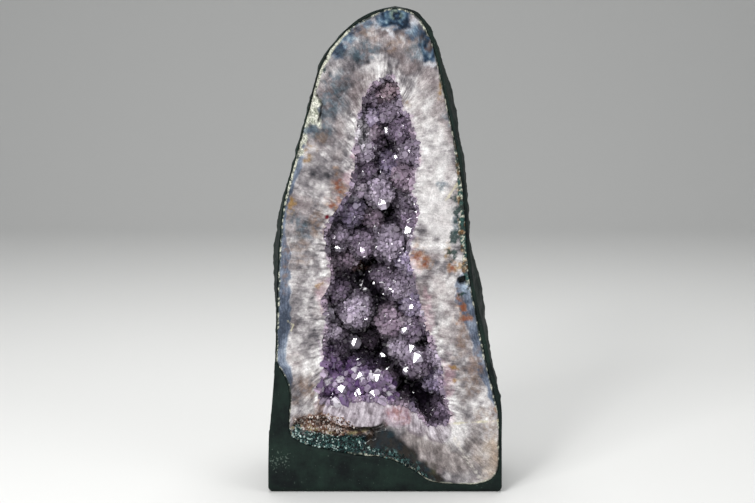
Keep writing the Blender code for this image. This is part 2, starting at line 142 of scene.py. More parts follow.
# The cement's lumps: wavelength and height in millimetres, direction turned from +X, rise above level, phase.
WAVES = (
    (150, 1.9, 20, 30, 0.4),
    (112, 1.8, 100, -40, 2.0),
    (88, 1.6, 160, 15, 5.1),
    (74, 1.3, 60, 65, 1.2),
    (60, 1.1, 130, -20, 3.3),
    (49, 0.9, 10, -55, 0.7),
    (41, 0.7, 75, 25, 4.4),
)
LUMPS_FULL_BEHIND, LUMPS_FULL_ABOVE = 60 * MM, 20 * MM

# Spokes, clockwise from the top: x, z of the wall's outer edge, then x, z of the hollow's mouth.
SPOKES = MM * np.array((
    (8.8, 384.2, 1.6, 331.4), (25.5, 377.6, 9.6, 324.6), (36.6, 358.0, 12.8, 314.5),
    (42.4, 337.0, 13.8, 306.5), (47.6, 314.0, 19.0, 298.8), (53.0, 290.5, 23.2, 285.0),
    (57.4, 270.0, 28.0, 270.0), (60.4, 251.0, 23.6, 252.0), (62.4, 233.0, 22.4, 238.0),
    (63.6, 216.0, 28.0, 222.0), (64.6, 200.0, 21.4, 203.0), (65.6, 184.0, 19.8, 187.0),
    (67.8, 167.0, 23.0, 170.0), (71.4, 149.0, 27.4, 153.5), (75.0, 131.0, 31.4, 136.0),
    (78.8, 114.0, 38.6, 120.0), (82.4, 97.0, 45.2, 102.0), (87.0, 80.0, 46.4, 86.0),
    (90.8, 60.0, 51.0, 70.5), (91.4, 38.0, 52.8, 61.0), (89.6, 16.0, 50.6, 55.0),
    (76.0, 7.4, 44.0, 54.2), (56.0, 7.0, 36.0, 52.8), (37.0, 9.0, 30.2, 57.5),
    (20.5, 19.5, 21.0, 67.6), (0.0, 28.0, 5.0, 71.4), (-22.0, 30.0, -13.0, 74.0),
    (-44.0, 34.0, -31.0, 73.6), (-63.0, 38.4, -45.6, 71.6), (-75.2, 46.6, -53.6, 75.4),
    (-76.6, 61.0, -54.6, 84.0), (-75.4, 76.0, -51.0, 94.0), (-78.4, 91.0, -49.0, 104.5),
    (-84.4, 106.0, -49.8, 115.5), (-85.4, 123.0, -48.6, 127.0), (-85.2, 140.0, -47.6, 141.0),
    (-84.8, 157.0, -50.0, 154.5), (-84.2, 172.0, -43.2, 169.0), (-83.4, 187.0, -45.0, 183.0),
    (-82.4, 203.0, -47.4, 197.5), (-80.8, 219.0, -48.6, 208.5), (-77.6, 236.0, -42.6, 220.5),
    (-73.0, 253.5, -33.8, 232.5), (-67.4, 273.0, -27.0, 246.5), (-61.4, 294.0, -25.0, 263.0),
    (-55.6, 315.0, -23.6, 279.5), (-49.4, 334.5, -21.4, 296.0), (-39.6, 353.5, -18.2, 310.5),
    (-25.6, 368.8, -12.6, 321.5), (-8.6, 379.4, -4.6, 327.6),
))
SPINE_FOOT, SPINE_TOP = MM * np.array((10.0, 88.0)), MM * np.array((-3.0, 296.0))
WALL_POWER, HOLLOW_POWER, FLOOR_POWER = 0.8, 0.5, 0.6
# Height and depth of the crust's floor.
FLOOR_DEPTHS = MM * np.array(((50, 40), (100, 58), (180, 60), (250, 50), (300, 38), (340, 28)))
# The knobs of the crust: x, z, radius, how far the front lies behind the face.
KNOBS = MM * np.array((
    (2.4, 318.8, 8.8, 7), (-11.2, 314.8, 8.0, 8), (4.0, 302.8, 10.4, 9), (-11.2, 298.0, 7.2, 8),
    (-9.6, 287.6, 7.2, 14), (13.6, 288.4, 10.4, 9), (-18.4, 270.8, 9.6, 8), (-7.2, 276.4, 7.2, 22),
    (20.0, 269.2, 9.6, 8), (3.2, 260.4, 9.6, 20), (16.0, 250.8, 12.0, 12), (-15.2, 255.6, 8.8, 16),
    (-5.6, 239.6, 12.8, 14), (-23.2, 243.6, 7.2, 8), (13.6, 229.2, 10.4, 26), (-28.0, 222.8, 12.0, 14),
    (-10.4, 215.6, 9.6, 24), (20.8, 214.0, 8.0, 10), (4.8, 196.4, 13.6, 10), (-17.6, 195.6, 11.2, 16),
    (-38.4, 202.8, 8.8, 12), (16.8, 183.6, 8.8, 14), (-32.0, 181.2, 9.6, 26), (-39.2, 158.8, 8.8, 9),
    (-24.8, 142.8, 14.4, 11), (-2.4, 170.0, 9.6, 26), (12.0, 163.6, 12.8, 12), (23.2, 148.4, 9.6, 9),
    (5.6, 133.2, 13.6, 18), (23.2, 128.4, 10.4, 10), (14.4, 111.6, 12.0, 18), (26.4, 100.4, 11.2, 9),
    (40.8, 106.8, 9.6, 10), (40.0, 86.0, 10.4, 20), (-12.0, 117.2, 11.2, 34), (-32.0, 114.8, 9.6, 30),
    (-43.2, 127.6, 7.2, 8), (-44.0, 105.2, 7.2, 8), (-42.4, 86.8, 9.6, 7), (-23.2, 85.2, 14.4, 6),
    (-4.8, 80.4, 10.4, 7), (44.8, 63.6, 8.0, 34),
))
KNOB_SHOULDER, KNOB_SKIRT_SLOPE = 0.9, 2.8
print(len(SECTIONS), "sections,", len(SPOKES), "spokes,", len(KNOBS), "knobs")

# %% Curves through the lists
def section_at(heights):
    """Rows of SECTIONS at any heights: cubic Hermite between rows, with the slope of the neighbouring rows."""
    known = SECTIONS[:, 0]
    slopes = np.gradient(SECTIONS, known, axis=0)
    heights = np.clip(heights, 0, HEIGHT)
    low = np.clip(np.searchsorted(known, heights) - 1, 0, len(known) - 2)
    step = (known[low + 1] - known[low])[:, None]
    t = (heights[:, None] - known[low][:, None]) / step
    from_low = (2 * t**3 - 3 * t**2 + 1) * SECTIONS[low] + (t**3 - 2 * t**2 + t) * step * slopes[low]
    from_high = (3 * t**2 - 2 * t**3) * SECTIONS[low + 1] + (t**3 - t**2) * step * slopes[low + 1]
    return from_low + from_high


def through(values, at):
    """A closed Catmull-Rom curve through evenly spaced rows, read at the places at."""
    start = np.floor(at).astype(int)
    t = (at - start)[:, None]
    a, b, c, d = (values[(start + step) % len(values)] for step in (-1, 0, 1, 2))
    return 0.5 * (2 * b + (c - a) * t + (2 * a - 5 * b + 4 * c - d) * t**2 + (3 * b - a - 3 * c + d) * t**3)


def face_y(z):
    """y of the sawn face, a plane that leans back from the foot."""
    return -DEPTH / 2 + (z - FOOT_ROUND) * math.tan(FACE_LEAN)


def placed(flat, depth):
    """Points from (x, z) and a depth behind the sawn face."""
    return np.column_stack((flat[:, 0], face_y(flat[:, 1]) + depth, flat[:, 1]))


check = section_at(np.array([0.1]))[0] / MM
print("at 100 mm the face runs from %.1f to %.1f mm" % (check[1], check[2]))

# %% Depths behind the face
def spine_of(flat):
    """The nearest point of the hollow's middle line to each (x, z)."""
    run = SPINE_TOP - SPINE_FOOT
    along = np.clip((flat - SPINE_FOOT) @ run / (run @ run), 0, 1)
    return SPINE_FOOT + along[:, None] * run


def back_depth(flat):
    """Depth of the stone's back at (x, z): the section's superellipse, solved for its depth at that x."""
    _, left, right, _, _, back = section_at(flat[:, 1]).T
    across = np.clip(np.abs(flat[:, 0] - (left + right) / 2) / ((right - left) / 2), 0, 1) ** (1 / SIDE_POWER)
    return (back - face_y(flat[:, 1])) * np.sqrt(1 - across**2) ** BACK_POWER


def wall_bed(edge, v):
    """A ring of the wall's back, v from 0 at the face to 1: edge drawn in by cos^0.8, depth growing as a sine."""
    spine = spine_of(edge)
    flat = spine + (edge - spine) * math.cos(v * math.pi / 2) ** WALL_POWER
    deepest = section_at(spine[:, 1])[:, 5] - face_y(spine[:, 1]) - CEMENT_AT_BACK
    return flat, np.minimum(deepest * math.sin(v * math.pi / 2), WALL_SHARE_OF_DEPTH * back_depth(flat))


def unit(vectors):
    """Each row divided by its own length."""
    return vectors / np.linalg.norm(vectors, axis=1)[:, None]


def moved_in(edge, spine, distance):
    """Points of an edge moved towards the spine by a distance, or by one for each point."""
    return edge + np.reshape(distance, (-1, 1)) * unit(spine - edge)


def floor_depth(z):
    """How deep the crust's floor lies behind the face at a height."""
    return np.interp(z, *FLOOR_DEPTHS.T)


def knob_depth(flat, depth):
    """The nearer of a depth and every knob: a dome 1 - sqrt(1 - r^2), then a straight steep skirt."""
    for x, z, radius, front in KNOBS:
        away = np.hypot(flat[:, 0] - x, flat[:, 1] - z) / radius
        dome = 1 - np.sqrt(1 - np.minimum(away, KNOB_SHOULDER) ** 2)
        depth = np.minimum(depth, front + radius * (dome + np.maximum(away - KNOB_SHOULDER, 0) * KNOB_SKIRT_SLOPE))
    return depth


print("at 180 mm the hollow is %.0f mm deep" % (floor_depth(180 * MM) / MM))

# %% [markdown]
# ## Meshes and colours
# A surface here is a stack of rings with the same number of points, so its faces are found by counting. The
# helpers below make those faces and the meshes. Materials are written as sRGB hex, the way a colour is read off a
# screen, and turned to the linear values that the shader works with.

# %% Faces by counting
def ring_quads(ids):
    """Quads between neighbouring rows of a (rows, points) array of vertex numbers whose rows are closed."""
    near, far = ids[:-1], ids[1:]
    return np.stack((near, np.roll(near, -1, 1), np.roll(far, -1, 1), far), axis=-1).reshape(-1, 4)


def fan(ring, centre):
    """Triangles from a closed ring of vertex numbers to one centre vertex."""
    return np.stack((ring, np.roll(ring, -1), np.full(len(ring), centre)), axis=-1)


def strips(ring):
    """Closes a long narrow ring with quads from its right side to its left, and a triangle at each end."""
    half = len(ring) // 2
    i = np.arange(1, half - 1)
    ends = np.array(((ring[0], ring[1], ring[-1]), (ring[half - 1], ring[half], ring[half + 1])))
    return np.stack((ring[i], ring[i + 1], ring[-1 - i], ring[-i]), axis=-1), ends


print("two rings of four points are joined by", len(ring_quads(np.arange(8).reshape(2, 4))), "quads")

# %% Meshes, pieces and stored values
def new_mesh(name, points, *faces):
    """A mesh from an array of points and arrays of corner numbers, with its faces turned outwards."""
    mesh = bpy.data.meshes.new(name)
    mesh.from_pydata(points.tolist(), [], [face for array in faces for face in array.tolist()])
    bm = bmesh.new()
    bm.from_mesh(mesh)
    bmesh.ops.recalc_face_normals(bm, faces=bm.faces)
    bm.to_mesh(mesh)
    bm.free()
    return mesh


def in_scene(name, data):
    """A new object in the scene, for a mesh, a camera or a lamp."""
    thing = bpy.data.objects.new(name, data)
    bpy.context.scene.collection.objects.link(thing)
    return thing


def look_at(thing, target):
    """Turns a camera or a lamp, which look along their own -Z, towards a point."""
    thing.rotation_euler = (target - thing.location).to_track_quat("-Z", "Y").to_euler()


def new_piece(name, mesh, node, material):
    """Puts a mesh in the scene, on the stone's one body, in place of its solid."""
    piece = in_scene(name, mesh)
    mesh.materials.append(material)
    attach(piece, "root")
    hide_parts(node)
    print("%s: %d triangles" % (name, sum(len(face.vertices) - 2 for face in mesh.polygons)))


def store(mesh, name, values, kind="FLOAT", domain="POINT"):
    """Keeps a number, a vector or a colour for each vertex or face under a name that a material can read."""
    if kind == "FLOAT_COLOR":
        values = np.column_stack((values, np.ones(len(values))))
        layer, field = mesh.color_attributes.new(name, kind, domain), "color"
    else:
        layer, field = mesh.attributes.new(name, kind, domain), "vector" if kind == "FLOAT_VECTOR" else "value"
    layer.data.foreach_set(field, values.astype(np.float32).ravel())


# %% Colour and node helpers
def linear(code):
    """sRGB hex to linear: c / 12.92 for the darkest values, else ((c + 0.055) / 1.055) ^ 2.4."""
    parts = np.array([int(code[i:i + 2], 16) for i in (1, 3, 5)]) / 255
    return np.where(parts <= 0.04045, parts / 12.92, ((parts + 0.055) / 1.055) ** 2.4)


def laid(colour, *layers):
    """Lays colours over an array of colours in turn: each is a hex code or an array, with a weight for each place."""
    for over, weight in layers:
        over = linear(over) if isinstance(over, str) else over
        colour = colour * (1 - weight[:, None]) + over * weight[:, None]
    return colour


def ramp(value, stops):
    """Reads a row of hex colours at even steps from 0 to 1; values outside get the end colours."""
    table = np.array([linear(code) for code in stops])
    steps = np.linspace(0, 1, len(stops))
    return np.column_stack([np.interp(value, steps, table[:, i]) for i in range(3)])


def plug(node, **links):
    """Gives each input a value or a link; in_0 names an input by number, a node stands for its first live output."""
    for key, value in links.items():
        socket = node.inputs[int(key[3:])] if key.startswith("in_") else node.inputs[key.replace("_", " ")]
        if isinstance(value, bpy.types.Node):
            value = next(output for output in value.outputs if output.enabled)
        if isinstance(value, bpy.types.NodeSocket):
            node.id_data.links.new(value, socket)
        else:
            socket.default_value = value
    return node


def add(tree, kind, settings=None, **links):
    """Adds a node, sets its properties and plugs in its inputs."""
    node = tree.nodes.new(kind)
    for key, value in (settings or {}).items():
        setattr(node, key, value)
    return plug(node, **links)


MIX, TINT = {"data_type": "RGBA"}, {"data_type": "RGBA", "blend_type": "MULTIPLY"}


def new_material(name):
    """A material with an empty tree but for its Principled shader and output."""
    material = bpy.data.materials.new(name)
    material.use_nodes = True
    return material, material.node_tree, material.node_tree.nodes["Principled BSDF"]


print("quartz white is", linear("#e8e4de").round(3))

# %% [markdown]
# ## The camera
# The photograph was taken almost square to the sawn face from a little above it, with a longish lens, so the
# sides of the stone hardly converge. One photograph pixel is 0.8 mm on the face, which fixes the lens. Seen from
# above, heights shrink a little, and the lens makes up for that.

# %% Camera
FRAME_WIDTH_PX, FRAME_HEIGHT_PX = 755, 503
MM_PER_PX = 0.8
STONE_X_PX, STONE_FOOT_PX = 385, 492.5
CAMERA_DISTANCE, CAMERA_RISE = 1.2, math.radians(8.0)
FORESHORTENED = 0.9935
SENSOR_MM = 36.0

target_x = (FRAME_WIDTH_PX / 2 - STONE_X_PX) * MM_PER_PX * MM
target_z = (STONE_FOOT_PX - FRAME_HEIGHT_PX / 2) * MM_PER_PX * MM
target = Vector((target_x, face_y(target_z), target_z))
camera_data = bpy.data.cameras.new("camera")
camera_data.sensor_width = SENSOR_MM
camera_data.lens = CAMERA_DISTANCE / MM * SENSOR_MM / (FRAME_WIDTH_PX * MM_PER_PX * FORESHORTENED)
camera = in_scene("camera", camera_data)
camera.location = target + CAMERA_DISTANCE * Vector((0, -math.cos(CAMERA_RISE), math.sin(CAMERA_RISE)))
look_at(camera, target)
bpy.context.scene.camera = camera
print("lens %.1f mm at %.2f m" % (camera_data.lens, CAMERA_DISTANCE))

# %% [markdown]
# ## The cement shell
# On the real stone, cement is trowelled over the rough outside of the geode, flattened under the foot, and painted
# a green so dark that it reads as black. It could be a subdivided cage, but the level sections are already a
# formula, so the skin is those sections at close steps. The long waves are the solid's own lumps, and noise adds
# the trowel's ridges and the grit. The front joins the skin's edge to the wall's edge with flat rings.

# %% Cement skin
SKIN_ROWS, SKIN_COLUMNS, FRONT_COLUMNS = 230, 220, 80
FOOT_ROWS, FOOT_STEP, SKIN_TOP = 3, 1.5 * MM, 384 * MM
TROWEL_RIDGE, TROWEL_SIZE, TROWEL_PULL = 1.0 * MM, 14 * MM, (1.0, 1.0, 2.2)
GRIT_HEIGHT, GRIT_SIZE = 0.3 * MM, 4.4 * MM
CALM_BY_FACE, CALM_BY_FOOT = 6 * MM, 8 * MM


def lumps(points):
    """The cement's long swells: a sum of sine waves, each along its own direction."""
    total = np.zeros(len(points))
    for length, high, turn, rise, phase in WAVES:
        turn, rise = math.radians(turn), math.radians(rise)
        along = (math.cos(turn) * math.cos(rise), math.sin(turn) * math.cos(rise), math.sin(rise))
        total += high * MM * np.sin(2 * math.pi * (points @ np.array(along)) / (length * MM) + phase)
    return total


def cement_back():
    """(rows, columns, 3): each level section, x = half * cos^0.6 with a swell, y = depth * sin^0.85."""
    heights = np.concatenate(((0, FOOT_STEP), np.linspace(FOOT_ROUND, SKIN_TOP, SKIN_ROWS - 2)))
    turns = np.linspace(0, math.pi, SKIN_COLUMNS)
    h, turn = (grid.ravel() for grid in np.meshgrid(heights, turns, indexing="ij"))
    _, left, right, swell_left, swell_right, back = section_at(h).T
    front = face_y(np.maximum(h, FOOT_ROUND))
    half = (right - left) / 2
    side = np.sign(np.cos(turn)) * np.abs(np.cos(turn)) ** SIDE_POWER
    swell = np.where(side > 0, swell_right, swell_left)
    bulge = (SIDE_SWELL * swell + BARREL_SWELL * half) * np.abs(np.sin(2 * turn))
    x = (left + right) / 2 + half * side + np.sign(side) * bulge
    y = front + (back - front) * np.abs(np.sin(turn)) ** BACK_POWER
    points = np.column_stack((x, y, h))
    outward = unit(np.column_stack((side, np.sin(turn))))
    inset = FOOT_INSET * np.maximum(0, 1 - h / FOOT_ROUND) ** 2
    behind = np.minimum(1, (y - front) / LUMPS_FULL_BEHIND) * np.minimum(1, h / LUMPS_FULL_ABOVE)
    calm = smooth(y - front, 0, CALM_BY_FACE) * smooth(h, 0, CALM_BY_FOOT)
    ridges = TROWEL_RIDGE * clouds(points * TROWEL_PULL, TROWEL_SIZE, 4, seed=3)
    ridges += GRIT_HEIGHT * clouds(points, GRIT_SIZE, 2, seed=9)
    reach = lumps(points) * behind - inset + ridges * calm
    points[:, :2] += outward * reach[:, None]
    edge = (turn < 1e-9) | (turn > math.pi - 1e-9)
    points[edge, 1] = (front + inset)[edge]
    points[:, 0] = np.clip(points[:, 0], -HALF_WIDTH, HALF_WIDTH)
    points[:, 1] = np.minimum(points[:, 1], DEPTH / 2)
    return points.reshape(SKIN_ROWS, SKIN_COLUMNS, 3)


skin = cement_back()
print("skin reaches x %.1f to %.1f mm" % (skin[..., 0].min() / MM, skin[..., 0].max() / MM))

# %% Where the wall meets the cement
SPOKE_COUNT = 960
CEMENT_LINE, RIND_SHIFT = 1.0 * MM, 2.5 * MM


def reach_to(edge, start, direction):
    """How far rays in the (x, z) plane run to a closed line: the crossing of each ray with each side of it."""
    side = np.roll(edge, -1, axis=0) - edge
    offset = edge[None] - start[:, None]
    across = direction[:, None, 0] * side[None, :, 1] - direction[:, None, 1] * side[None, :, 0]
    across[across == 0] = 1e-12
    distance = (offset[..., 0] * side[None, :, 1] - offset[..., 1] * side[None, :, 0]) / across
    along = (offset[..., 0] * direction[:, None, 1] - offset[..., 1] * direction[:, None, 0]) / across
    return np.where((distance > 0) & (along >= 0) & (along < 1), distance, 0).max(axis=1)


spokes = through(SPOKES, np.arange(SPOKE_COUNT) * len(SPOKES) / SPOKE_COUNT)
wall_edge, mouth_edge = spokes[:, :2].copy(), spokes[:, 2:]
# On the left the rind almost reaches the outline, with only a thin line of cement left outside it.
on_left = smooth(spine_of(wall_edge)[:, 0] - wall_edge[:, 0], 0, 15 * MM) * smooth(wall_edge[:, 1], 80 * MM, 110 * MM)
room = wall_edge[:, 0] - section_at(wall_edge[:, 1])[:, 1] - CEMENT_LINE
wall_edge[:, 0] -= np.clip(room, 0, RIND_SHIFT) * on_left * smooth(wall_edge[:, 1], 378 * MM, 362 * MM)
print("the rind is moved out by up to %.1f mm" % ((spokes[:, 0] - wall_edge[:, 0]).max() / MM))

# %% Cement front and bed
FRONT_RINGS, BED_STEPS = 14, (0.14, 0.32, 0.52, 0.72, 0.90)
DIMPLE, DIMPLE_SIZE, DIMPLE_PULL, DIMPLE_CREST = 0.25 * MM, 11 * MM, (1, 1, 1.8), 0.2 * MM


def cement_shell():
    """The closed shell: skin, foot, front rings from its edge to the wall, and the bed that holds the wall."""
    arc = np.arange(SKIN_ROWS * SKIN_COLUMNS).reshape(SKIN_ROWS, SKIN_COLUMNS)
    across = np.linspace(0, 1, FRONT_COLUMNS + 2)[1:-1, None]
    fronts = [skin[row, -1] + (skin[row, 0] - skin[row, -1]) * across for row in range(FOOT_ROWS)]
    chord = arc.size + np.arange(FOOT_ROWS * FRONT_COLUMNS).reshape(FOOT_ROWS, FRONT_COLUMNS)
    tip, foot = chord.max() + 1, chord.max() + 2
    singles = [(TIP_X, face_y(HEIGHT) + TIP_BEHIND_FACE, HEIGHT), (0.0, 0.0, 0.0)]
    points = [skin.reshape(-1, 3), *fronts, np.array(singles)]
    ground = np.hstack((arc[:FOOT_ROWS], chord))
    upper = arc[FOOT_ROWS - 1:]
    quads = np.stack((upper[:-1, :-1], upper[:-1, 1:], upper[1:, 1:], upper[1:, :-1]), axis=-1).reshape(-1, 4)
    cap = np.stack((upper[-1, :-1], upper[-1, 1:], np.full(SKIN_COLUMNS - 1, tip)), axis=-1)
    loop = np.concatenate((upper[:, -1], [tip], upper[::-1, 0], chord[-1, ::-1]))
    outline = np.vstack(points)[loop]
    flat = outline[:, ::2]
    spine = spine_of(flat)
    ray = unit(flat - spine)
    edge = spine + ray * (reach_to(wall_edge, spine, ray) + GAP)[:, None]
    rings, start = [], outline[:, 1] - face_y(flat[:, 1])
    for step in np.linspace(0, 1, FRONT_RINGS + 1)[1:]:
        ring = flat + (edge - flat) * step
        dimple = DIMPLE * clouds(placed(ring, 0) * DIMPLE_PULL, DIMPLE_SIZE, 3, seed=21)
        dimple *= smooth(np.linalg.norm(ring - flat, axis=1), 0, 3 * MM) * smooth(1 - step, 0, 0.1)
        rings.append(placed(ring, start * (1 - step) + np.maximum(dimple, -DIMPLE_CREST)))
    for v in BED_STEPS:
        ring, depth = wall_bed(edge, v)
        rings.append(placed(moved_in(ring, spine, -GAP), depth + GAP))
    first = foot + 1
    inner = np.vstack((loop, first + np.arange(len(rings) * len(loop)).reshape(len(rings), -1)))
    middle = first + len(rings) * len(loop)
    points += [*rings, rings[-1].mean(axis=0)[None]]
    faces = [quads, ring_quads(ground), ring_quads(inner), cap, fan(ground[0], foot), fan(inner[-1], middle)]
    return np.vstack(points), faces


shell_points, shell_faces = cement_shell()
shell_mesh = new_mesh("cement_shell_skin", shell_points, *shell_faces)
print("shell:", len(shell_mesh.polygons), "faces")

# %% [markdown]
# ### Painted cement
# Masonry paint over a cement render: dielectric, satin where the brush left it thick, duller in the pits, with
# pale specks where it is scuffed, most of all at the lower left corner. Its pigment grains break up most of the
# gloss, so the specular level is low, and the eye reads a green-black with faint broken highlights. The pattern is
# in Object coordinates, in metres, so a noise scale is one over the size of what it draws.

# %% Paint material
PAINT, PAINT_WORN, PAINT_DUST = linear("#0d1314"), linear("#1d2c26"), linear("#66756c")
BRUSH_MM, SPECK_MM, MOTTLE_MM = 3.0, 1.6, 22.0
SCUFF_AT, SCUFF_SIZE = (-0.086, -0.067, 0.026), 14 * MM


def painted_cement():
    """Green-black paint: mottle picks the green, brush marks and grit raise it, specks dust it."""
    material, tree, shader = new_material("painted_cement")
    place = add(tree, "ShaderNodeTexCoord").outputs["Object"]
    mottle = add(tree, "ShaderNodeTexNoise", Vector=place, Scale=1000 / MOTTLE_MM, Detail=8.0, Roughness=0.72)
    worn = add(tree, "ShaderNodeMapRange", in_0=mottle, in_1=0.38, in_2=0.66)
    green = add(tree, "ShaderNodeMix", MIX, in_0=worn, in_6=(*PAINT, 1), in_7=(*PAINT_WORN, 1))
    specks = add(tree, "ShaderNodeTexNoise", Vector=place, Scale=1000 / SPECK_MM, Detail=2.0)
    away = add(tree, "ShaderNodeVectorMath", {"operation": "DISTANCE"}, in_0=place, in_1=SCUFF_AT)
    scuffed = add(tree, "ShaderNodeMapRange", in_0=away, in_1=SCUFF_SIZE, in_2=0.3 * SCUFF_SIZE, in_3=0.70, in_4=0.56)
    over = add(tree, "ShaderNodeMath", {"operation": "SUBTRACT"}, in_0=specks, in_1=scuffed)
    dusty = add(tree, "ShaderNodeMapRange", in_0=over, in_1=0.0, in_2=0.07, in_4=0.5)
    dust = add(tree, "ShaderNodeMix", MIX, in_0=dusty, in_6=green, in_7=(*PAINT_DUST, 1))
    strokes = add(tree, "ShaderNodeMapping", Vector=place, Rotation=(0, 0.35, 0), Scale=(1, 1, 0.22))
    brush = add(tree, "ShaderNodeTexNoise", Vector=strokes, Scale=1000 / BRUSH_MM, Detail=5.0, Roughness=0.6)
    gloss = add(tree, "ShaderNodeMapRange", in_0=mottle, in_1=0.3, in_2=0.7, in_3=0.44, in_4=0.72)
    bump = add(tree, "ShaderNodeBump", Strength=0.55, Distance=0.0006, Height=brush)
    plug(shader, Base_Color=dust, Roughness=gloss, Normal=bump, IOR=1.5, Specular_IOR_Level=0.12)
    return material


shell_mesh.shade_smooth()
new_piece("cement_shell_skin", shell_mesh, "cement_shell", painted_cement())

# %% [markdown]
# ## Crystals
# A quartz point is a six-sided prism that ends in six faces which meet in a tip. Each faces about 52 degrees away
# from the crystal's length. Three of them are usually larger, and the tip is off centre. All crystals are made at
# once: one table of 13 corners, stretched, turned and moved for every place by array arithmetic. Their places come
# from a Poisson scatter, which spreads points evenly over a surface whatever its slope.

# %% Crystal maker
TIP_ANGLE = math.radians(52.0)
# The shares of a crystal's radius: prism shown and buried, how far corners and tips stray, the base's narrowing.
PRISM_SHOW, PRISM_BURIED, CORNER_STRAY, TIP_STRAY, BASE_TAPER = 0.35, 1.1, 0.14, 0.20, 0.8
HEXAGON_FLAT = math.cos(math.pi / 6)
CORNERS = 13


def turned_frames(axes, twist):
    """For each axis, two directions square to it and to each other, turned about it by the twist."""
    helper = np.where(np.abs(axes[:, 2:3]) < 0.9, np.array([[0.0, 0.0, 1.0]]), np.array([[1.0, 0.0, 0.0]]))
    first = unit(np.cross(axes, helper))
    second = np.cross(axes, first)
    c, s = np.cos(twist)[:, None], np.sin(twist)[:, None]
    return first * c + second * s, second * c - first * s


def tip_rise(radius):
    """How far a tip stands above its shoulder: the hexagon's flats, radius * cos 30, times the tangent of the angle."""
    return radius * HEXAGON_FLAT * math.tan(TIP_ANGLE)


def crystals(at, axes, radius, twist, rng, show=PRISM_SHOW):
    """Corners (n, 13, 3): a buried hexagon, a hexagon at the shoulder with three corners lower, and the tip."""
    count = len(at)
    u, w = turned_frames(axes, twist)
    angles = np.arange(6) * math.pi / 3
    stray = 1 + rng.uniform(-CORNER_STRAY, CORNER_STRAY, (count, 6))
    hexagon = (np.cos(angles) * stray)[..., None] * u[:, None] + (np.sin(angles) * stray)[..., None] * w[:, None]
    hexagon *= radius[:, None, None]
    lift = show * radius[:, None] * (1 + 0.5 * rng.uniform(-1, 1, (count, 1)))
    side = np.where(rng.random((count, 1)) < 0.5, 1, -1)
    uneven = lift + radius[:, None] * rng.uniform(0.1, 0.5, (count, 1)) * side * (-1.0) ** np.arange(6)
    shoulder = at[:, None] + hexagon + axes[:, None] * uneven[..., None]
    base = at[:, None] + hexagon * BASE_TAPER - axes[:, None] * (PRISM_BURIED * radius)[:, None, None]
    offset = rng.normal(0, TIP_STRAY, (count, 2)) * radius[:, None]
    tip = at + axes * (lift[:, 0] + tip_rise(radius))[:, None] + u * offset[:, :1] + w * offset[:, 1:]
    return np.concatenate((base, shoulder, tip[:, None]), axis=1)


def crystal_faces(count):
    """Corner numbers for all crystals: six sides, six tip faces and the buried hexagon of each."""
    i = np.arange(6)
    j = (i + 1) % 6
    sides = np.stack((i, j, j + 6, i + 6), axis=-1)
    tips = np.stack((i + 6, j + 6, np.full(6, CORNERS - 1)), axis=-1)
    start = CORNERS * np.arange(count)[:, None, None]
    return (start + sides).reshape(-1, 4), (start + tips).reshape(-1, 3), (start[:, 0] + i[::-1]).reshape(-1, 6)


print("a crystal has", sum(map(len, crystal_faces(1))), "faces")

# %% Scatter
def scatter(points, faces, spacing, seed):
    """Evenly spread places on a surface and its normal at each, by Geometry Nodes' Poisson disk scatter."""
    surface = in_scene("scatter_surface", new_mesh("scatter_surface", points, *faces))
    tree = bpy.data.node_groups.new("scatter", "GeometryNodeTree")
    for way in ("INPUT", "OUTPUT"):
        tree.interface.new_socket("Geometry", in_out=way, socket_type="NodeSocketGeometry")
    spread = add(tree, "GeometryNodeDistributePointsOnFaces", {"distribute_method": "POISSON"},
                 Mesh=add(tree, "NodeGroupInput"), Distance_Min=spacing, Density_Max=4 / spacing**2, Seed=seed)
    kept = add(tree, "GeometryNodeStoreNamedAttribute", {"data_type": "FLOAT_VECTOR", "domain": "POINT"},
               Geometry=spread, Name="facing", Value=spread.outputs["Normal"])
    add(tree, "NodeGroupOutput", in_0=add(tree, "GeometryNodePointsToVertices", in_0=kept))
    surface.modifiers.new("scatter", "NODES").node_group = tree
    result = surface.evaluated_get(bpy.context.evaluated_depsgraph_get()).data
    places, facing = np.zeros((2, len(result.vertices) * 3), np.float32)
    result.vertices.foreach_get("co", places)
    result.attributes["facing"].data.foreach_get("vector", facing)
    bpy.data.objects.remove(surface, do_unlink=True)
    return places.reshape(-1, 3).astype(float), facing.reshape(-1, 3).astype(float)


print("points 2 mm apart: at most %.0f on a square centimetre" % (2 / math.sqrt(3) / 0.2**2))

# %% [markdown]
# ## The geode wall
# The cut shows how the stone grew: a thin green rind, agate in places, then columns of quartz that all point at
# the hollow, white and streaked like wood grain. A wall is a ring from the outer edge to the mouth, so the mesh is
# a stack of rings along the spokes. Where a crystal of quartz, a chip or a hollow breaks the cut, the rings lie
# deeper behind the plane. All such places are marks: an ellipse in millimetres whose edge noise bends.

# %% Marks and lines on the cut
def wander(flat, size, seed, layers=3):
    """Clouds over the sawn face for an array of (x, z)."""
    return clouds(np.column_stack((flat, np.zeros(len(flat)))), size, layers, seed)


def in_mark(flat, mark):
    """Each place in a mark's own frame: (dx cos - dz sin) / half width and (dx sin + dz cos) / half height."""
    x, z, half_width, half_height, turn = mark
    c, s = math.cos(math.radians(turn)), math.sin(math.radians(turn))
    dx, dz = flat[:, 0] / MM - x, flat[:, 1] / MM - z
    return (dx * c - dz * s) / half_width, (dx * s + dz * c) / half_height


def ellipse(flat, mark):
    """Distance from a mark's middle in its own radii: 1 on the ellipse."""
    return np.hypot(*in_mark(flat, mark))


def blot(flat, mark, soft=0.35, bend=0.35, seed=0):
    """1 inside a mark and 0 outside, with an edge this soft and this bent by noise."""
    size = max(min(mark[2], mark[3]) * MM, 3 * MM)
    return smooth(ellipse(flat, mark) + bend * wander(flat, size, seed + 31), 1 + soft, 1 - soft)


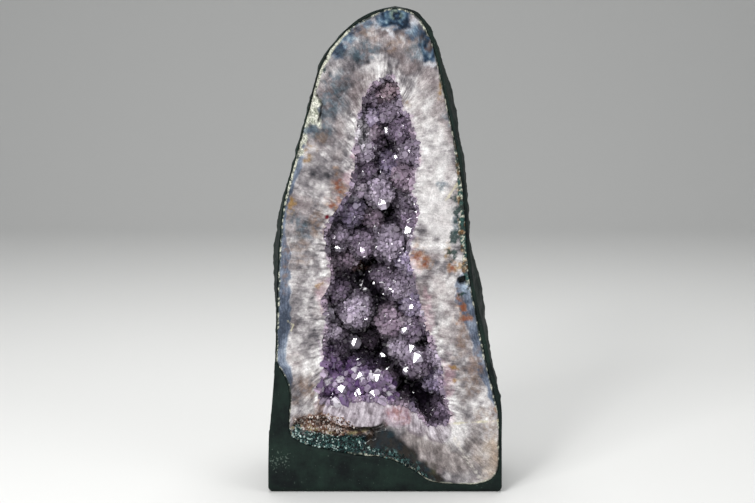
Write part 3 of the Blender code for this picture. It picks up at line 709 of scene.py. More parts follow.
def blots(flat, marks, **options):
    """The strongest of several blots."""
    return np.max([blot(flat, mark, seed=n * 7, **options) for n, mark in enumerate(marks)], axis=0)


def near_line(flat, line, width, bend=0.35):
    """1 on a broken line of (x, z) millimetres and 0 beyond a width from it, with a wandering edge."""
    line = np.array(line) * MM
    nearest = np.full(len(flat), 1.0)
    for a, b in zip(line, line[1:]):
        along = np.clip((flat - a) @ (b - a) / ((b - a) @ (b - a)), 0, 1)
        nearest = np.minimum(nearest, np.linalg.norm(flat - a - along[:, None] * (b - a), axis=1))
    return smooth(nearest + bend * width * wander(flat, 4 * MM, 77), width, width * 0.3)


middle_of_mark = blot(np.array([[0.0, 0.1]]), (0, 100, 10, 10, 0))[0]
print("a mark weighs %.2f in its middle" % middle_of_mark)

# %% Where the marks lie
# A mark is x, z, half width and half height in millimetres, then a turn in degrees that goes down to the right.
# How milky the quartz is: a mark, then 0 for clear and dark to 1 for white.
MILK = (
    (-50, 275, 15, 22, 0, 0.42), (0, 352, 42, 24, 0, 0.32), (-44, 310, 15, 17, 0, 0.34), (-6, 338, 9, 10, 0, 0.80),
    (33, 268, 16, 60, -8, 0.72), (43, 222, 14, 34, 0, 0.79), (46, 155, 15, 26, 8, 0.60), (60, 104, 17, 28, 10, 0.52),
    (50, 50, 22, 13, 0, 0.78), (-54, 170, 13, 50, 0, 0.60), (-60, 120, 13, 24, 0, 0.54), (-66, 86, 11, 15, 0, 0.54),
    (-64, 222, 12, 16, 0, 0.40), (80, 44, 13, 30, 0, 0.74),
)
MILK_ELSEWHERE = 0.50
QUARTZ = ("#25282c", "#5f5b5f", "#938e90", "#c9c5c5", "#efeeed")
# The slab and lumps of quartz under the hollow: marks, how boxy each is, and how deep its edge rounds off.
QUARTZ_LUMPS = (
    ((-24, 63.5, 25.5, 12.0, 3), 3.2, 4.0), ((10, 62, 11.5, 10.5, 0), 2.2, 3.0), ((27, 56, 9.5, 9.0, 35), 2.0, 2.2),
    ((43, 49, 9.5, 7.5, 10), 2.0, 1.8),
)
RECESS, TEAL_CRUST = (-42, 51, 30, 8.5, 6), (-44, 39.5, 34, 9.0, 9)
CHIPS = ((-58, 304, 5.0, 12, -20), (-54, 312, 3, 5, -20), (-65, 284, 3.4, 7, -15), (-67, 272, 2.2, 4, -15))
HOLE = (61.5, 169.5, 3.6, 3.0, 20)
CRACK = ((-54, 316), (-50, 309), (-51, 302), (-53, 296))
print(len(MILK), "patches of quartz,", len(QUARTZ_LUMPS), "lumps")

# %% Relief of the cut
EDGE_ROUND, EDGE_ROUND_WIDTH = 0.7 * MM, 1.8 * MM
RECESS_DEPTH, HOLE_DEPTH, PIT_DEPTH = 8.5 * MM, 5.0 * MM, 0.4 * MM
CRACK_WIDTH, CRACK_DEPTH = 1.1 * MM, 2.5 * MM


def lump_depth(flat):
    """Quartz lumps as pillows, depth = round * (1 - sqrt(1 - q^2)), with a groove where they meet the cut."""
    nearest, depth = np.full(len(flat), 9.0), np.zeros(len(flat))
    for mark, power, rounding in QUARTZ_LUMPS:
        across, along = np.abs(in_mark(flat, mark))
        q = (across**power + along**power) ** (1 / power) + 0.05 * wander(flat, 5 * MM, 91)
        pillow = rounding * MM * np.where(q < 1, 1 - np.sqrt(np.clip(1 - q**2, 0, 1)), smooth(q, 1.22, 1.0))
        depth = np.where(q < nearest, pillow, depth)
        nearest = np.minimum(nearest, q)
    return depth


def face_relief(flat, from_edge, from_mouth):
    """Depth of the face behind the cut: the deepest of the broken places, then the arris, pits and worn mouth."""
    rough = wander(flat, 5 * MM, 5, 4)
    outside_lumps = smooth(np.min([ellipse(flat, mark) for mark, *_ in QUARTZ_LUMPS], axis=0), 0.92, 1.04)
    broken = (
        blot(flat, RECESS, soft=0.14, bend=0.16, seed=2) * RECESS_DEPTH * (0.9 + 0.2 * rough) * outside_lumps,
        blot(flat, TEAL_CRUST, soft=0.25, seed=4) * (1.8 + 1.2 * wander(flat, 2.4 * MM, 8)) * MM,
        blots(flat, CHIPS, soft=0.2) * (1.3 + 0.9 * rough) * MM,
        blot(flat, HOLE, soft=0.3) * HOLE_DEPTH,
        near_line(flat, CRACK, CRACK_WIDTH) * CRACK_DEPTH,
        lump_depth(flat))
    arris = EDGE_ROUND * smooth(from_edge, EDGE_ROUND_WIDTH, 0) ** 2 * (1 + 0.8 * wander(flat, 4 * MM, 12))
    pits = PIT_DEPTH * smooth(wander(flat, 7 * MM, 15, 4), 0.55, 0.9)
    worn = smooth(from_mouth, 5 * MM, 0) * (0.4 + 0.5 * wander(flat, 2.4 * MM, 6, 2)) * MM
    return np.maximum.reduce(broken) + arris + pits + np.maximum(worn, 0)


print("the recess is %.1f mm deep and the hole %.1f mm" % (RECESS_DEPTH / MM, HOLE_DEPTH / MM))

# %% Wall rings
FACE_RINGS = 64
HOLLOW_STEPS = (0.02, 0.06, 0.12, 0.22, 0.36, 0.54, 0.72, 0.90)
TOOTH, TOOTH_SIZE = 1.2 * MM, 5 * MM


def wall_rings():
    """Rings from the wall's back round the outer edge, across the cut along the spokes, and into the hollow."""
    spine = spine_of(mouth_edge)
    mouth = moved_in(mouth_edge, spine, 0.3 * MM + TOOTH * wander(mouth_edge, TOOTH_SIZE, 41))
    width = np.linalg.norm(mouth - wall_edge, axis=1)
    rings, across = [], []
    for v in reversed(BED_STEPS):
        rings.append(placed(*wall_bed(wall_edge, v)))
        across.append(0 * width)
    for step in np.linspace(0, 1, FACE_RINGS):
        flat = wall_edge + (mouth - wall_edge) * step
        rings.append(placed(flat, face_relief(flat, width * step, width * (1 - step))))
        across.append(width * step)
    deepest = floor_depth(spine[:, 1]) + CRUST_THICKNESS
    for v in HOLLOW_STEPS:
        edge = mouth if v == HOLLOW_STEPS[0] else mouth_edge
        rings.append(placed(spine + (edge - spine) * (1 - v), deepest * math.sin(v * math.pi / 2) ** HOLLOW_POWER))
        across.append(width)
    return np.array(rings), np.array(across), np.tile(width, (len(rings), 1))


rings, from_edge, widths = wall_rings()
wall_ids = np.arange(rings.shape[0] * SPOKE_COUNT).reshape(rings.shape[0], -1)
wall_points = rings.reshape(-1, 3)
wall_faces = [ring_quads(wall_ids), *strips(wall_ids[0]), *strips(wall_ids[-1])]
print("wall:", sum(map(len, wall_faces)), "faces")

# %% [markdown]
# ### Druse on broken ground
# Where the cut broke open small hollows, tiny crystals line them: teal ones at the foot, brown ones in the recess.
# Noise alone looks like sponge there, so these are true crystals too, scattered over the faces inside the marks
# and joined into the wall's mesh.

# %% Druse on broken ground
CRUMB_SPACING = 1.25 * MM
CRUMB_PLACES = ((-46, 40, 32, 8.0, 9), (-4, 32, 22, 3.0, 12), (22, 21, 14, 2.6, 35), (-48, 54, 24, 7, 3))
crumb_rng = np.random.default_rng(5)


def crumbs():
    """Small crystals scattered over the quads of the cut whose middles lie inside the marks."""
    quads = ring_quads(wall_ids[len(BED_STEPS):len(BED_STEPS) + FACE_RINGS])
    here = blots(wall_points[quads].mean(axis=1)[:, ::2], CRUMB_PLACES, soft=0.25) > 0.5
    at, facing = scatter(wall_points, [quads[here]], CRUMB_SPACING, seed=2)
    facing[facing[:, 1] > 0] *= -1
    axes = unit(facing + crumb_rng.normal(0, 0.45, facing.shape))
    radius = CRUMB_SPACING * crumb_rng.uniform(0.3, 0.8, len(at))
    return at, crystals(at, axes, radius, crumb_rng.uniform(0, math.pi / 3, len(at)), crumb_rng, 0.3)


crumb_at, crumb_points = crumbs()
crumb_faces = [corners + len(wall_points) for corners in crystal_faces(len(crumb_at))]
wall_and_crumbs = np.vstack((wall_points, crumb_points.reshape(-1, 3)))
wall_mesh = new_mesh("geode_wall_stone", wall_and_crumbs, *wall_faces, *crumb_faces)
print(len(crumb_at), "small crystals on broken ground")

# %% [markdown]
# ### Growth directions
# Quartz grew square to the rind, so its grain runs along the spokes. Each vertex stores where it is on a cylinder
# whose height is the distance from the rind and whose girth is the stone's. Noise that is stretched along the
# cylinder is then a streak along the growth, and it closes on itself without a seam.

# %% Growth coordinates
STREAK_WIDTH, STREAK_PULL = 1.7 * MM, (1, 1, 0.2)
STREAK_BEND, STREAK_BEND_SIZE = 1.3 * MM, 6 * MM


def growth_places():
    """(R cos a, R sin a, distance from the edge): a goes once round the stone, 2 pi R is its mean girth."""
    middle = (wall_edge + mouth_edge) / 2
    step = np.linalg.norm(np.roll(middle, -1, axis=0) - middle, axis=1)
    around = np.concatenate(((0,), np.cumsum(step)))
    angle = 2 * math.pi * around[:-1] / around[-1]
    radius = around[-1] / (2 * math.pi)
    ring = np.column_stack((radius * np.cos(angle), radius * np.sin(angle)))
    return np.column_stack((np.tile(ring, (len(rings), 1)), from_edge.ravel()))


growth = growth_places()
bent = growth + STREAK_BEND * clouds(wall_points, STREAK_BEND_SIZE, 2, 19)[:, None]
streaks = clouds(bent * STREAK_PULL, STREAK_WIDTH, 3, 23)
print("girth %.0f mm" % (2 * math.pi * np.hypot(*growth[0, :2]) / MM))

# %% [markdown]
# ### Colours of the cut
# The wall's colours are laid on its vertices in the order in which the stone grew and was stained: quartz from
# clear to milky, agate by the rind, then iron as tan, ochre and rust. The shader adds what is finer than the mesh.

# %% Agate bands
AGATE_EYES = ((9, 378, 14, 11, 0), (34, 354, 8.5, 13, -22))
AGATE_SMEARS = ((-30, 362, 10, 4.5, -38), (-38, 352, 7, 6, -50), (-14, 372, 9, 5, -20), (22, 366, 6, 6, 0))
# Height and how far the agate band reaches in from the edge, on the left and on the right.
BAND_LEFT = np.array(((80, 0), (88, 4), (100, 8), (130, 10), (160, 10), (190, 8), (205, 3.5), (235, 4), (262, 6),
                      (275, 4), (300, 0), (376, 0)))
BAND_RIGHT = np.array(((60, 0), (75, 4), (95, 7), (115, 8), (135, 10), (152, 15), (165, 13), (178, 4), (196, 3),
                       (215, 4), (240, 0), (300, 0)))
BLUE_GREY = ("#3a4250", "#5e6778", "#808a9a", "#adb5c0")
DEEP_BLUE = ("#162230", "#2e4359", "#546e84", "#9db0b8")
EYE_HEARTS = ("#8ea08c", "#6b5038")
AGATE_LINE_MM = 2.3


def agate_on(colour, flat, to_edge):
    """Bands that follow the rind, and eyes and smears by marks: blue-grey, finely lined, rimmed with white."""
    big, small = wander(flat, 15 * MM, 53, 4), wander(flat, 4.5 * MM, 54, 4)
    left, right = (np.interp(flat[:, 1] / MM, *band.T) for band in (BAND_LEFT, BAND_RIGHT))
    inner = np.where(flat[:, 0] < spine_of(flat)[:, 0], left, right) * MM
    reach = to_edge + 1.8 * MM * wander(flat, 7 * MM, 57)
    band = smooth(reach, inner + 0.8 * MM, inner - 0.8 * MM) * smooth(inner, 1.5 * MM, 3 * MM)
    lines = 0.5 + 0.5 * np.sin(2 * math.pi * (to_edge / MM + 1.5 * small) / AGATE_LINE_MM)
    bright_line = smooth(np.abs(reach - inner - 0.3 * MM), 0.9 * MM, 0.2 * MM) * smooth(inner, 3 * MM, 5 * MM)
    eyes = 0.85 * blots(flat, AGATE_SMEARS, soft=0.5, bend=0.6)
    colour = laid(
        colour,
        ("#c3c5cc", 0.6 * bright_line * smooth(big, -0.4, 0.4)),
        (ramp(0.22 + 0.22 * lines + 0.5 * big + 0.25 * small, BLUE_GREY), band),
        (ramp(0.35 + 0.5 * small + 0.2 * lines, DEEP_BLUE), eyes))
    for n, (eye, heart) in enumerate(zip(AGATE_EYES, EYE_HEARTS)):
        out = ellipse(flat, eye) + 0.22 * wander(flat, 7 * MM, 60 + n, 4)
        weight = smooth(out + 0.1 * small, 1.12, 0.80)
        below = smooth(flat[:, 1], (eye[1] + 2) * MM, (eye[1] - 6) * MM)
        colour = laid(
            colour,
            ("#cdd1d8", 0.6 * smooth(np.abs(out - 1.18), 0.26, 0.03) * below * smooth(small, -0.6, 0.2)),
            (ramp(0.22 + 0.22 * np.sin(out * 15) + 0.55 * small, DEEP_BLUE), weight),
            (heart, 0.6 * smooth(out, 0.7, 0.2) * smooth(small, -0.2, 0.4)))
        eyes = np.maximum(eyes, weight)
    return colour, np.maximum(band, eyes)


# %% Quartz tones
def quartz_tones(flat, to_mouth):
    """Milkiness, clouds at two sizes and the streaks pick each place's tone between clear and white."""
    level = np.full(len(flat), MILK_ELSEWHERE)
    for n, (*mark, milk) in enumerate(MILK):
        weight = blot(flat, mark, soft=0.5, bend=0.45, seed=n * 5)
        level = level * (1 - weight) + milk * weight
    big, small = wander(flat, 15 * MM, 53, 4), wander(flat, 4.5 * MM, 54, 4)
    comb = 0.12 + 0.20 * smooth(to_mouth, 18 * MM, 3 * MM)
    quiet = 1 - 0.60 * smooth(level, 0.62, 0.80)
    tone = level + (0.23 * big + 0.23 * small + comb * streaks) * quiet
    tone += 0.10 * smooth(to_mouth + 4 * MM * big, 9 * MM, 2 * MM)
    warm = smooth(wander(flat, 18 * MM, 55, 3), -0.1, 0.6)
    return laid(ramp(tone, QUARTZ), ("#8b7c7b", 0.40 * warm * quiet))


flat = wall_points[:, ::2]
to_edge, to_mouth = from_edge.ravel(), (widths - from_edge).ravel()
wall_colour, agate = agate_on(quartz_tones(flat, to_mouth), flat, to_edge)
print("agate on %.0f%% of the wall's vertices" % (100 * (agate > 0.5).mean()))

# %% Iron stains
SMOKE = ((-46, 309, 10, 13, 10), (-20, 352, 12, 9, -30), (-66, 212, 8, 12, 0), (26, 352, 8, 8, 0), (45, 246, 5, 3.4, 0),
         (-38, 328, 12, 8, 0), (50, 300, 4, 8, 0), (56, 216, 4, 8, 0), (-50, 290, 8, 9, 0), (44, 245, 3, 2.4, 0))
TAN = ((-52, 70, 5, 9, 0), (12, 357, 12, 5, -10), (-14, 366, 9, 5, 20), (-79, 176, 2.4, 13, 0), (82, 62, 10, 9, -10),
       (-62, 84, 9, 13, 0), (-52, 214, 10, 9, 0), (72, 96, 9, 16, 12), (-70, 196, 8, 12, 0), (62, 120, 5, 12, 10),
       (88, 40, 5, 24, 0), (-51, 283, 4, 5, 20))
OCHRE = ((-75, 230, 3, 5, 0), (-52, 166, 3.6, 2.6, -20), (50, 193, 2.4, 5, 0), (58, 181, 5, 2.6, 0),
         (54, 101, 6, 1.4, 5), (56, 90, 3, 1.8, 30), (17, 309, 3.4, 2.6, 0), (-60, 270, 4, 5, 20), (46, 322, 3, 8, 10))
RUST = ((-36, 239, 3.2, 8, -12), (-41, 230, 3.4, 2.6, 0), (26, 192, 3.4, 4, 20), (32, 184, 3.2, 3, 0),
        (61, 150, 2, 6, -15), (63, 138, 4.4, 2, -10), (91, 72, 2.4, 6, 0), (54, 180, 2, 3, 0))
RUST_HALO = tuple((x, z, w * 1.5, h * 1.4, turn) for x, z, w, h, turn in RUST)
RED_SPOT = (-45.6, 220, 1.9, 1.9, 0)
TEAL = ((60, 240, 5.0, 8, 6), (58, 204, 6, 9, 12), (53, 190, 4, 4, 0), (-46, 334, 2, 5, -30), (62, 160, 3, 4, 0),
        (60, 222, 4, 7, 0), (59, 262, 3, 7, 0))
PINK = ((-50, 74, 5, 9, 0), (26, 264, 4, 6, 0), (-22, 265, 4, 6, 0), (-44, 100, 5, 12, 0), (24, 182, 4, 6, 0),
        (50, 92, 5, 14, 0), (48, 60, 5, 6, 0), (-50, 160, 5, 12, 0), (34, 140, 4, 16, 0), (-28, 250, 5, 8, 0))


def stained(colour, flat, to_mouth):
    """Each stain's weight is its strength times its blots; most also keep some of the streaks under them."""
    fine = wander(flat, 2.4 * MM, 52) + 0.5 * streaks
    seeping = smooth(fine, -0.9, 0.5)
    fringe = smooth(to_mouth + 2.2 * MM * wander(flat, 3 * MM, 63), 3.0 * MM, 0.2 * MM)
    return laid(
        colour,
        ("#50626d", 0.70 * blots(flat, SMOKE, soft=0.6, bend=0.6) * seeping),
        ("#b98f9c", 0.36 * blots(flat, PINK, soft=0.6, bend=0.6)),
        ("#a58ba6", 0.50 * fringe * smooth(wander(flat, 11 * MM, 64), -0.5, 0.4)),
        ("#7d6350", 0.55 * blots(flat, TAN, soft=0.7, bend=0.7) * seeping),
        ("#ab7a42", 0.55 * blots(flat, RUST_HALO, soft=0.8, bend=0.8) * seeping),
        ("#8f6c2a", 0.75 * blots(flat, OCHRE, soft=0.7, bend=0.7) * seeping),
        ("#743520", 0.80 * blots(flat, RUST, soft=0.8, bend=0.8) * seeping),
        ("#5d1420", blot(flat, RED_SPOT, soft=0.4)),
        ("#12302e", 0.90 * blots(flat, TEAL, soft=0.4, bend=0.8) * smooth(fine, -0.3, 0.2)))


wall_colour = stained(wall_colour, flat, to_mouth)
print(sum(map(len, (SMOKE, TAN, OCHRE, RUST, TEAL, PINK))), "stains laid")

# %% [markdown]
# ### The foot of the cut
# Under the hollow the stone is broken and mixed: a slab of quartz with the ledge's crystals on it, a brown recess
# below, a sparkling teal crust, nearly black agate, and smoky quartz to the right. Painted shade lies under and left
# of the slab and round the lumps beside it.

# %% Places at the foot of the cut
SMOKY_BASE = ((32, 38, 20, 11, 25), (58, 24, 20, 12, 15), (72, 40, 8, 10, 0))
DARK_AGATE = ((-4, 40, 17, 14, 10), (13, 31, 16, 10, 30), (28, 20, 14, 7, 35), (38, 13, 10, 5, 25), (-26, 33, 16, 4, 9),
              (-18, 42, 12, 7, 0))
RIDGE = ((56, 43), (62, 34), (70, 22), (76, 11))
LIP = ((-77, 52), (-66, 53), (-56, 49), (-44, 46.5), (-28, 46), (-18, 48), (-13, 52))
BEIGE_CORNER, OLIVE_GLINT = (86, 24, 9, 20, -10), (40, 23, 5, 6, 0)
DROPS = ((0, 31, 20, 3.5, 8), (22, 22, 16, 3.5, 35))
BROWN_ROCK, PALE_CRYSTAL, SHADE_LEFT_OF_SLAB = (-44, 54.5, 30, 11, 5), (-38, 49.5, 4.6, 3.4, 0), (-49.5, 66, 3.2, 11, 8)
SMOKY_QUARTZ = ("#453e3e", "#7a716f", "#aea5a3")
SLAB_QUARTZ = ("#5f555b", "#978d95", "#c9c0c8", "#e9e4e9")
print(len(SMOKY_BASE) + len(DARK_AGATE) + len(DROPS), "patches at the foot")

# %% Foot of the cut
def dark_ground(colour, flat, grains, clumps):
    """Smoky quartz, the beige corner, the pale ridge, then translucent agate that is almost black."""
    dark = blots(flat, DARK_AGATE, soft=0.3, bend=0.35)
    return laid(
        colour,
        (ramp(0.5 + 0.45 * clumps + 0.3 * streaks, SMOKY_QUARTZ), 0.85 * blots(flat, SMOKY_BASE, soft=0.5, bend=0.5)),
        ("#a8957f", 0.5 * blot(flat, BEIGE_CORNER, soft=0.6, bend=0.6)),
        ("#d8d2ca", 0.6 * near_line(flat, RIDGE, 1.8 * MM, bend=1.4) * smooth(grains, -0.6, 0.1)),
        ("#090e12", 0.985 * dark),
        ("#10262f", 0.8 * dark * smooth(clumps + 0.4 * streaks, 0.0, 0.6)),
        ("#27211a", 0.7 * dark * smooth(clumps - 0.5 * streaks, -0.2, -0.7)),
        ("#5c5a3c", 0.4 * dark * blot(flat, OLIVE_GLINT, soft=0.6))), dark


def foot_of_cut(colour, flat):
    """Dark ground, then teal crust, recess, a painted shadow under the slab and painted shade left of it, slab and
    lumps, and a painted shade round the right lumps, in that order.
    """
    grains, clumps = wander(flat, 1.9 * MM, 61), wander(flat, 6 * MM, 62)
    colour, dark = dark_ground(colour, flat, grains, clumps)
    teal = blot(flat, TEAL_CRUST, soft=0.2, bend=0.35, seed=4)
    drops = np.maximum(teal, 0.75 * blots(flat, DROPS, soft=0.5, bend=0.6))
    rock = blot(flat, BROWN_ROCK, soft=0.2, bend=0.3)
    on_slab, on_lump, *on_others = (ellipse(flat, mark) for mark, *_ in QUARTZ_LUMPS)
    on_right = np.minimum(*on_others) + 0.12 * clumps
    # A painted shadow, near black, along the slab's lower edge.
    shadow_under_slab = smooth(np.abs(on_slab + 0.1 * clumps - 1.13), 0.24, 0.04) * smooth(flat[:, 1], 60 * MM, 55 * MM)
    slab = smooth(np.minimum(on_slab, on_lump), 1.06, 0.97)
    white = np.maximum(slab, 0.85 * smooth(on_right, 1.16, 0.84))
    flushed = smooth(on_lump + 0.3 * clumps, 1.1, 0.4)
    colour = laid(
        colour,
        ("#0b191c", teal),
        ("#264c4c", 0.85 * drops * smooth(grains, 0.1, 0.45)),
        ("#8fb0ae", 0.8 * drops * smooth(grains + 0.3 * clumps, 0.5, 0.75)),
        ("#4e372c", 0.95 * rock),
        ("#8d6750", 0.75 * rock * smooth(grains + 0.6 * clumps, 0.0, 0.6)),
        ("#c9bdb6", 0.7 * rock * smooth(grains - 0.5 * clumps, 0.55, 0.9)),
        ("#9b9068", 0.8 * near_line(flat, LIP, 1.5 * MM, bend=1.4) * smooth(grains, -0.5, 0.2)),
        ("#b5aaa8", 0.9 * blot(flat, PALE_CRYSTAL, soft=0.35)),
        # Painted shadow under the slab.
        ("#150e0c", 0.85 * shadow_under_slab),
        # Painted brown shade between the wall and the slab's left end.
        ("#5c4236", 0.65 * blot(flat, SHADE_LEFT_OF_SLAB, soft=0.6, bend=0.6) * smooth(grains, -0.9, 0.2)),
        (ramp(0.46 + 0.20 * clumps + 0.34 * streaks, SLAB_QUARTZ), white),
        # Painted shade round the lumps right of the slab.
        ("#665a66", 0.5 * smooth(np.abs(on_right - 1.10), 0.16, 0.02) * (1 - slab)),
        ("#9f7080", 0.5 * flushed),
        ("#86503a", 0.5 * flushed * smooth(wander(flat, 5 * MM, 66) + 0.4 * grains, -0.1, 0.5)))
    return colour, dark * (1 - white), np.maximum(teal, rock) * (1 - white)


wall_colour, dark_agate, broken = foot_of_cut(wall_colour, flat)
print("broken ground on %.0f%% of the wall's vertices" % (100 * (broken > 0.5).mean()))

# %% Rind, chips and threads
THREADS = (((-77, 137), (-73, 134), (-75, 130)), ((57, 246), (48, 233)), ((45, 55), (92, 58)))
PALE_RIND = (-54, 325, 14, 66, 18)
GREEN_RIND = ((62, 240, 7, 22, -4), (60, 268, 4, 18, -8), (60, 205, 8, 16, 0), (66, 178, 6, 14, 4),
              (50, 325, 3, 14, -18))
BASE_LINE, BLUE_CHIP, HOLE_LIP = (50, 8, 52, 16, 8), (-61.5, 288, 4.5, 2.6, 10), (64, 164, 4, 3, 0)


def rind_and_chips(colour, flat, to_edge):
    """The skin of the geode: green-black, speckled with cream chalk, 1 to 2 mm wide and more on the right."""
    grains, flakes = wander(flat, 1.6 * MM, 58), wander(flat, 3.4 * MM, 67)
    pale, green = blot(flat, PALE_RIND, soft=0.4), blots(flat, GREEN_RIND, soft=0.4)
    chalk_line, chips = blot(flat, BASE_LINE, soft=0.3, bend=0.2), blots(flat, CHIPS, soft=0.2)
    thick = (1.3 + 0.8 * wander(flat, 8 * MM, 59) + 1.2 * pale + 3.2 * green - 0.5 * chalk_line) * MM
    rind = smooth(to_edge + 1.0 * MM * flakes * green, thick + 0.5 * MM, thick - 0.3 * MM)
    cream = smooth(grains + 0.9 * pale + 1.2 * chalk_line - 0.15 * green, 0.1, 0.5)
    return laid(
        colour,
        ("#18261f", 0.88 * rind),
        ("#27504a", 0.7 * rind * green * smooth(flakes, 0.0, 0.4)),
        ("#bcbdad", 0.9 * rind * cream),
        ("#8a6236", 0.5 * rind * green * smooth(flakes, -0.3, -0.7)),
        ("#c6c6ba", chips),
        ("#7c8070", 0.8 * chips * smooth(grains + 0.5 * flakes, 0.0, 0.5)),
        ("#4b5c6c", 0.8 * blot(flat, BLUE_CHIP, soft=0.5)),
        ("#151715", 0.9 * near_line(flat, CRACK, CRACK_WIDTH)),
        # The hole is coloured near black, a painted shade for its inside.
        ("#050607", blot(flat, HOLE, soft=0.3)),
        ("#a8b9cb", 0.6 * blot(flat, HOLE_LIP, soft=0.5) * smooth(grains, -0.3, 0.3)),
        *(("#cfc8ab", 0.65 * near_line(flat, thread, 0.8 * MM, bend=1.2)) for thread in THREADS)
    ), np.maximum(rind, chips)


wall_colour, chalky = rind_and_chips(wall_colour, flat, to_edge)
print("rind and chips on %.0f%% of the wall's vertices" % (100 * (chalky > 0.5).mean()))

# %% [markdown]
# ### Colours of the small druse
# Real druse is patchy, with clear crystals that show the dark ground and frosted ones that look pale. Each small
# crystal takes one of four tones, from the teal palette or the brown one, and pale ones are commoner on the left.

# %% Druse colours and stored values
TEAL_TONES, BROWN_TONES = ("#0d1a1a", "#1b3634", "#42615e", "#a9beb9"), ("#33241d", "#63473a", "#937b70", "#c9beb8")
TONE_SHARES = (0.42, 0.72, 0.98)
RECESS_DRUSE = (-44, 54, 32, 10, 6)


def crumb_colours(flat):
    """A tone for each small crystal: its share of paleness, looked up in its palette."""
    in_recess = blot(flat, RECESS_DRUSE, soft=0.15, bend=0.2) > 0.5
    paleness = crumb_rng.uniform(0, 1, len(flat)) + 0.3 * smooth(flat[:, 0], -20 * MM, -60 * MM)
    paleness += 0.25 * wander(flat, 5 * MM, 93)
    palettes = np.array([[linear(code) for code in tones] for tones in (TEAL_TONES, BROWN_TONES)])
    return palettes[in_recess.astype(int), np.searchsorted(TONE_SHARES, paleness)]


def with_crumbs(values, crumb_value):
    """Adds a value for all the corners of each small crystal to an array of the wall's values."""
    per_crystal = np.broadcast_to(crumb_value, (len(crumb_at), *values.shape[1:]))
    return np.concatenate((values, np.repeat(per_crystal, CORNERS, axis=0)))


plain = 1 - np.maximum.reduce((agate, broken, chalky, dark_agate))
streaky = plain * (1 - 0.7 * smooth(wall_colour[:, 1], 0.3, 0.6))
dull = np.clip(np.maximum(broken, chalky), 0, 1)
store(wall_mesh, "growth", with_crumbs(growth, np.zeros(3)), "FLOAT_VECTOR")
store(wall_mesh, "growth_colour", with_crumbs(wall_colour, crumb_colours(crumb_at[:, ::2])), "FLOAT_COLOR")
store(wall_mesh, "streaky", with_crumbs(streaky, 0.0))
store(wall_mesh, "dull", with_crumbs(dull, 0.1))
print("stored:", sorted(attribute.name for attribute in wall_mesh.attributes if not attribute.is_internal))

# %% [markdown]
# ### Polished quartz
# Quartz and agate, sawn and polished: a clear dielectric of IOR 1.544 full of fine veils, so light goes in a few
# millimetres and comes back soft. The eye sees milky white under a wet-looking gloss, with streaks along the
# growth. Columns of quartz are 1 to 3 mm across and several times as long, which sets the noise's scales. Its fine
# grain is drawn at 1 mm so that it shows, and is stronger on rind and broken ground, which are never polished.

# %% Quartz material
FIBRE_MM, FIBRE_STRETCH, VEIL_MM, GRAIN_MM = 1.1, 0.16, 5.0, 1.1
QUARTZ_IOR = 1.544


def polished_quartz():
    """The growth colours, streaked by noise that is stretched along the growth, veiled, and under a polish."""
    material, tree, shader = new_material("polished_quartz")
    place = add(tree, "ShaderNodeTexCoord").outputs["Object"]
    colour = add(tree, "ShaderNodeVertexColor", {"layer_name": "growth_colour"})
    along = add(tree, "ShaderNodeAttribute", {"attribute_name": "growth"}).outputs["Vector"]
    streaky, dull = (add(tree, "ShaderNodeAttribute", {"attribute_name": name}).outputs["Fac"]
                     for name in ("streaky", "dull"))
    drawn = add(tree, "ShaderNodeMapping", Vector=along, Scale=(1, 1, FIBRE_STRETCH))
    fibres = add(tree, "ShaderNodeTexNoise", Vector=drawn, Scale=1000 / FIBRE_MM, Detail=4.0, Roughness=0.6,
                 Distortion=0.8)
    veil = add(tree, "ShaderNodeTexNoise", Vector=place, Scale=1000 / VEIL_MM, Detail=9.0, Roughness=0.72)
    strong = add(tree, "ShaderNodeMapRange", in_0=streaky, in_3=0.05, in_4=0.60)
    centred = add(tree, "ShaderNodeMath", {"operation": "SUBTRACT"}, in_0=fibres, in_1=0.5)
    scaled = add(tree, "ShaderNodeMath", {"operation": "MULTIPLY"}, in_0=centred, in_1=strong)
    lifted = add(tree, "ShaderNodeMath", {"operation": "MULTIPLY_ADD"}, in_0=scaled, in_1=2.2, in_2=1.0)
    cloudy = add(tree, "ShaderNodeMapRange", in_0=veil, in_1=0.35, in_2=0.66, in_3=0.70, in_4=1.26)
    both = add(tree, "ShaderNodeMath", {"operation": "MULTIPLY"}, in_0=lifted, in_1=cloudy)
    uneven = add(tree, "ShaderNodeMapRange", in_0=streaky, in_3=0.45, in_4=1.0)
    toned = add(tree, "ShaderNodeMix", TINT, in_0=uneven, in_6=colour, in_7=both)
    grain = add(tree, "ShaderNodeTexNoise", Vector=place, Scale=1000 / GRAIN_MM, Detail=2.0, Roughness=0.6)
    rough = add(tree, "ShaderNodeMapRange", in_0=grain, in_1=0.35, in_2=0.65, in_3=0.45, in_4=1.6)
    how_grainy = add(tree, "ShaderNodeMapRange", in_0=dull, in_3=0.3, in_4=1.0)
    grainy = add(tree, "ShaderNodeMix", TINT, in_0=how_grainy, in_6=toned, in_7=rough)
    polish = add(tree, "ShaderNodeMapRange", in_0=veil, in_1=0.3, in_2=0.7, in_3=0.14, in_4=0.34)
    gloss = add(tree, "ShaderNodeMath", {"operation": "MULTIPLY_ADD"}, in_0=dull, in_1=0.42, in_2=polish)
    bump = add(tree, "ShaderNodeBump", Strength=0.3, Distance=0.0004, Height=both)
    plug(shader, Base_Color=grainy, Roughness=gloss, Normal=bump, IOR=QUARTZ_IOR, Specular_IOR_Level=0.25,
         Subsurface_Weight=0.1, Subsurface_Radius=(1.0, 0.9, 0.95), Subsurface_Scale=0.0012)
    return material


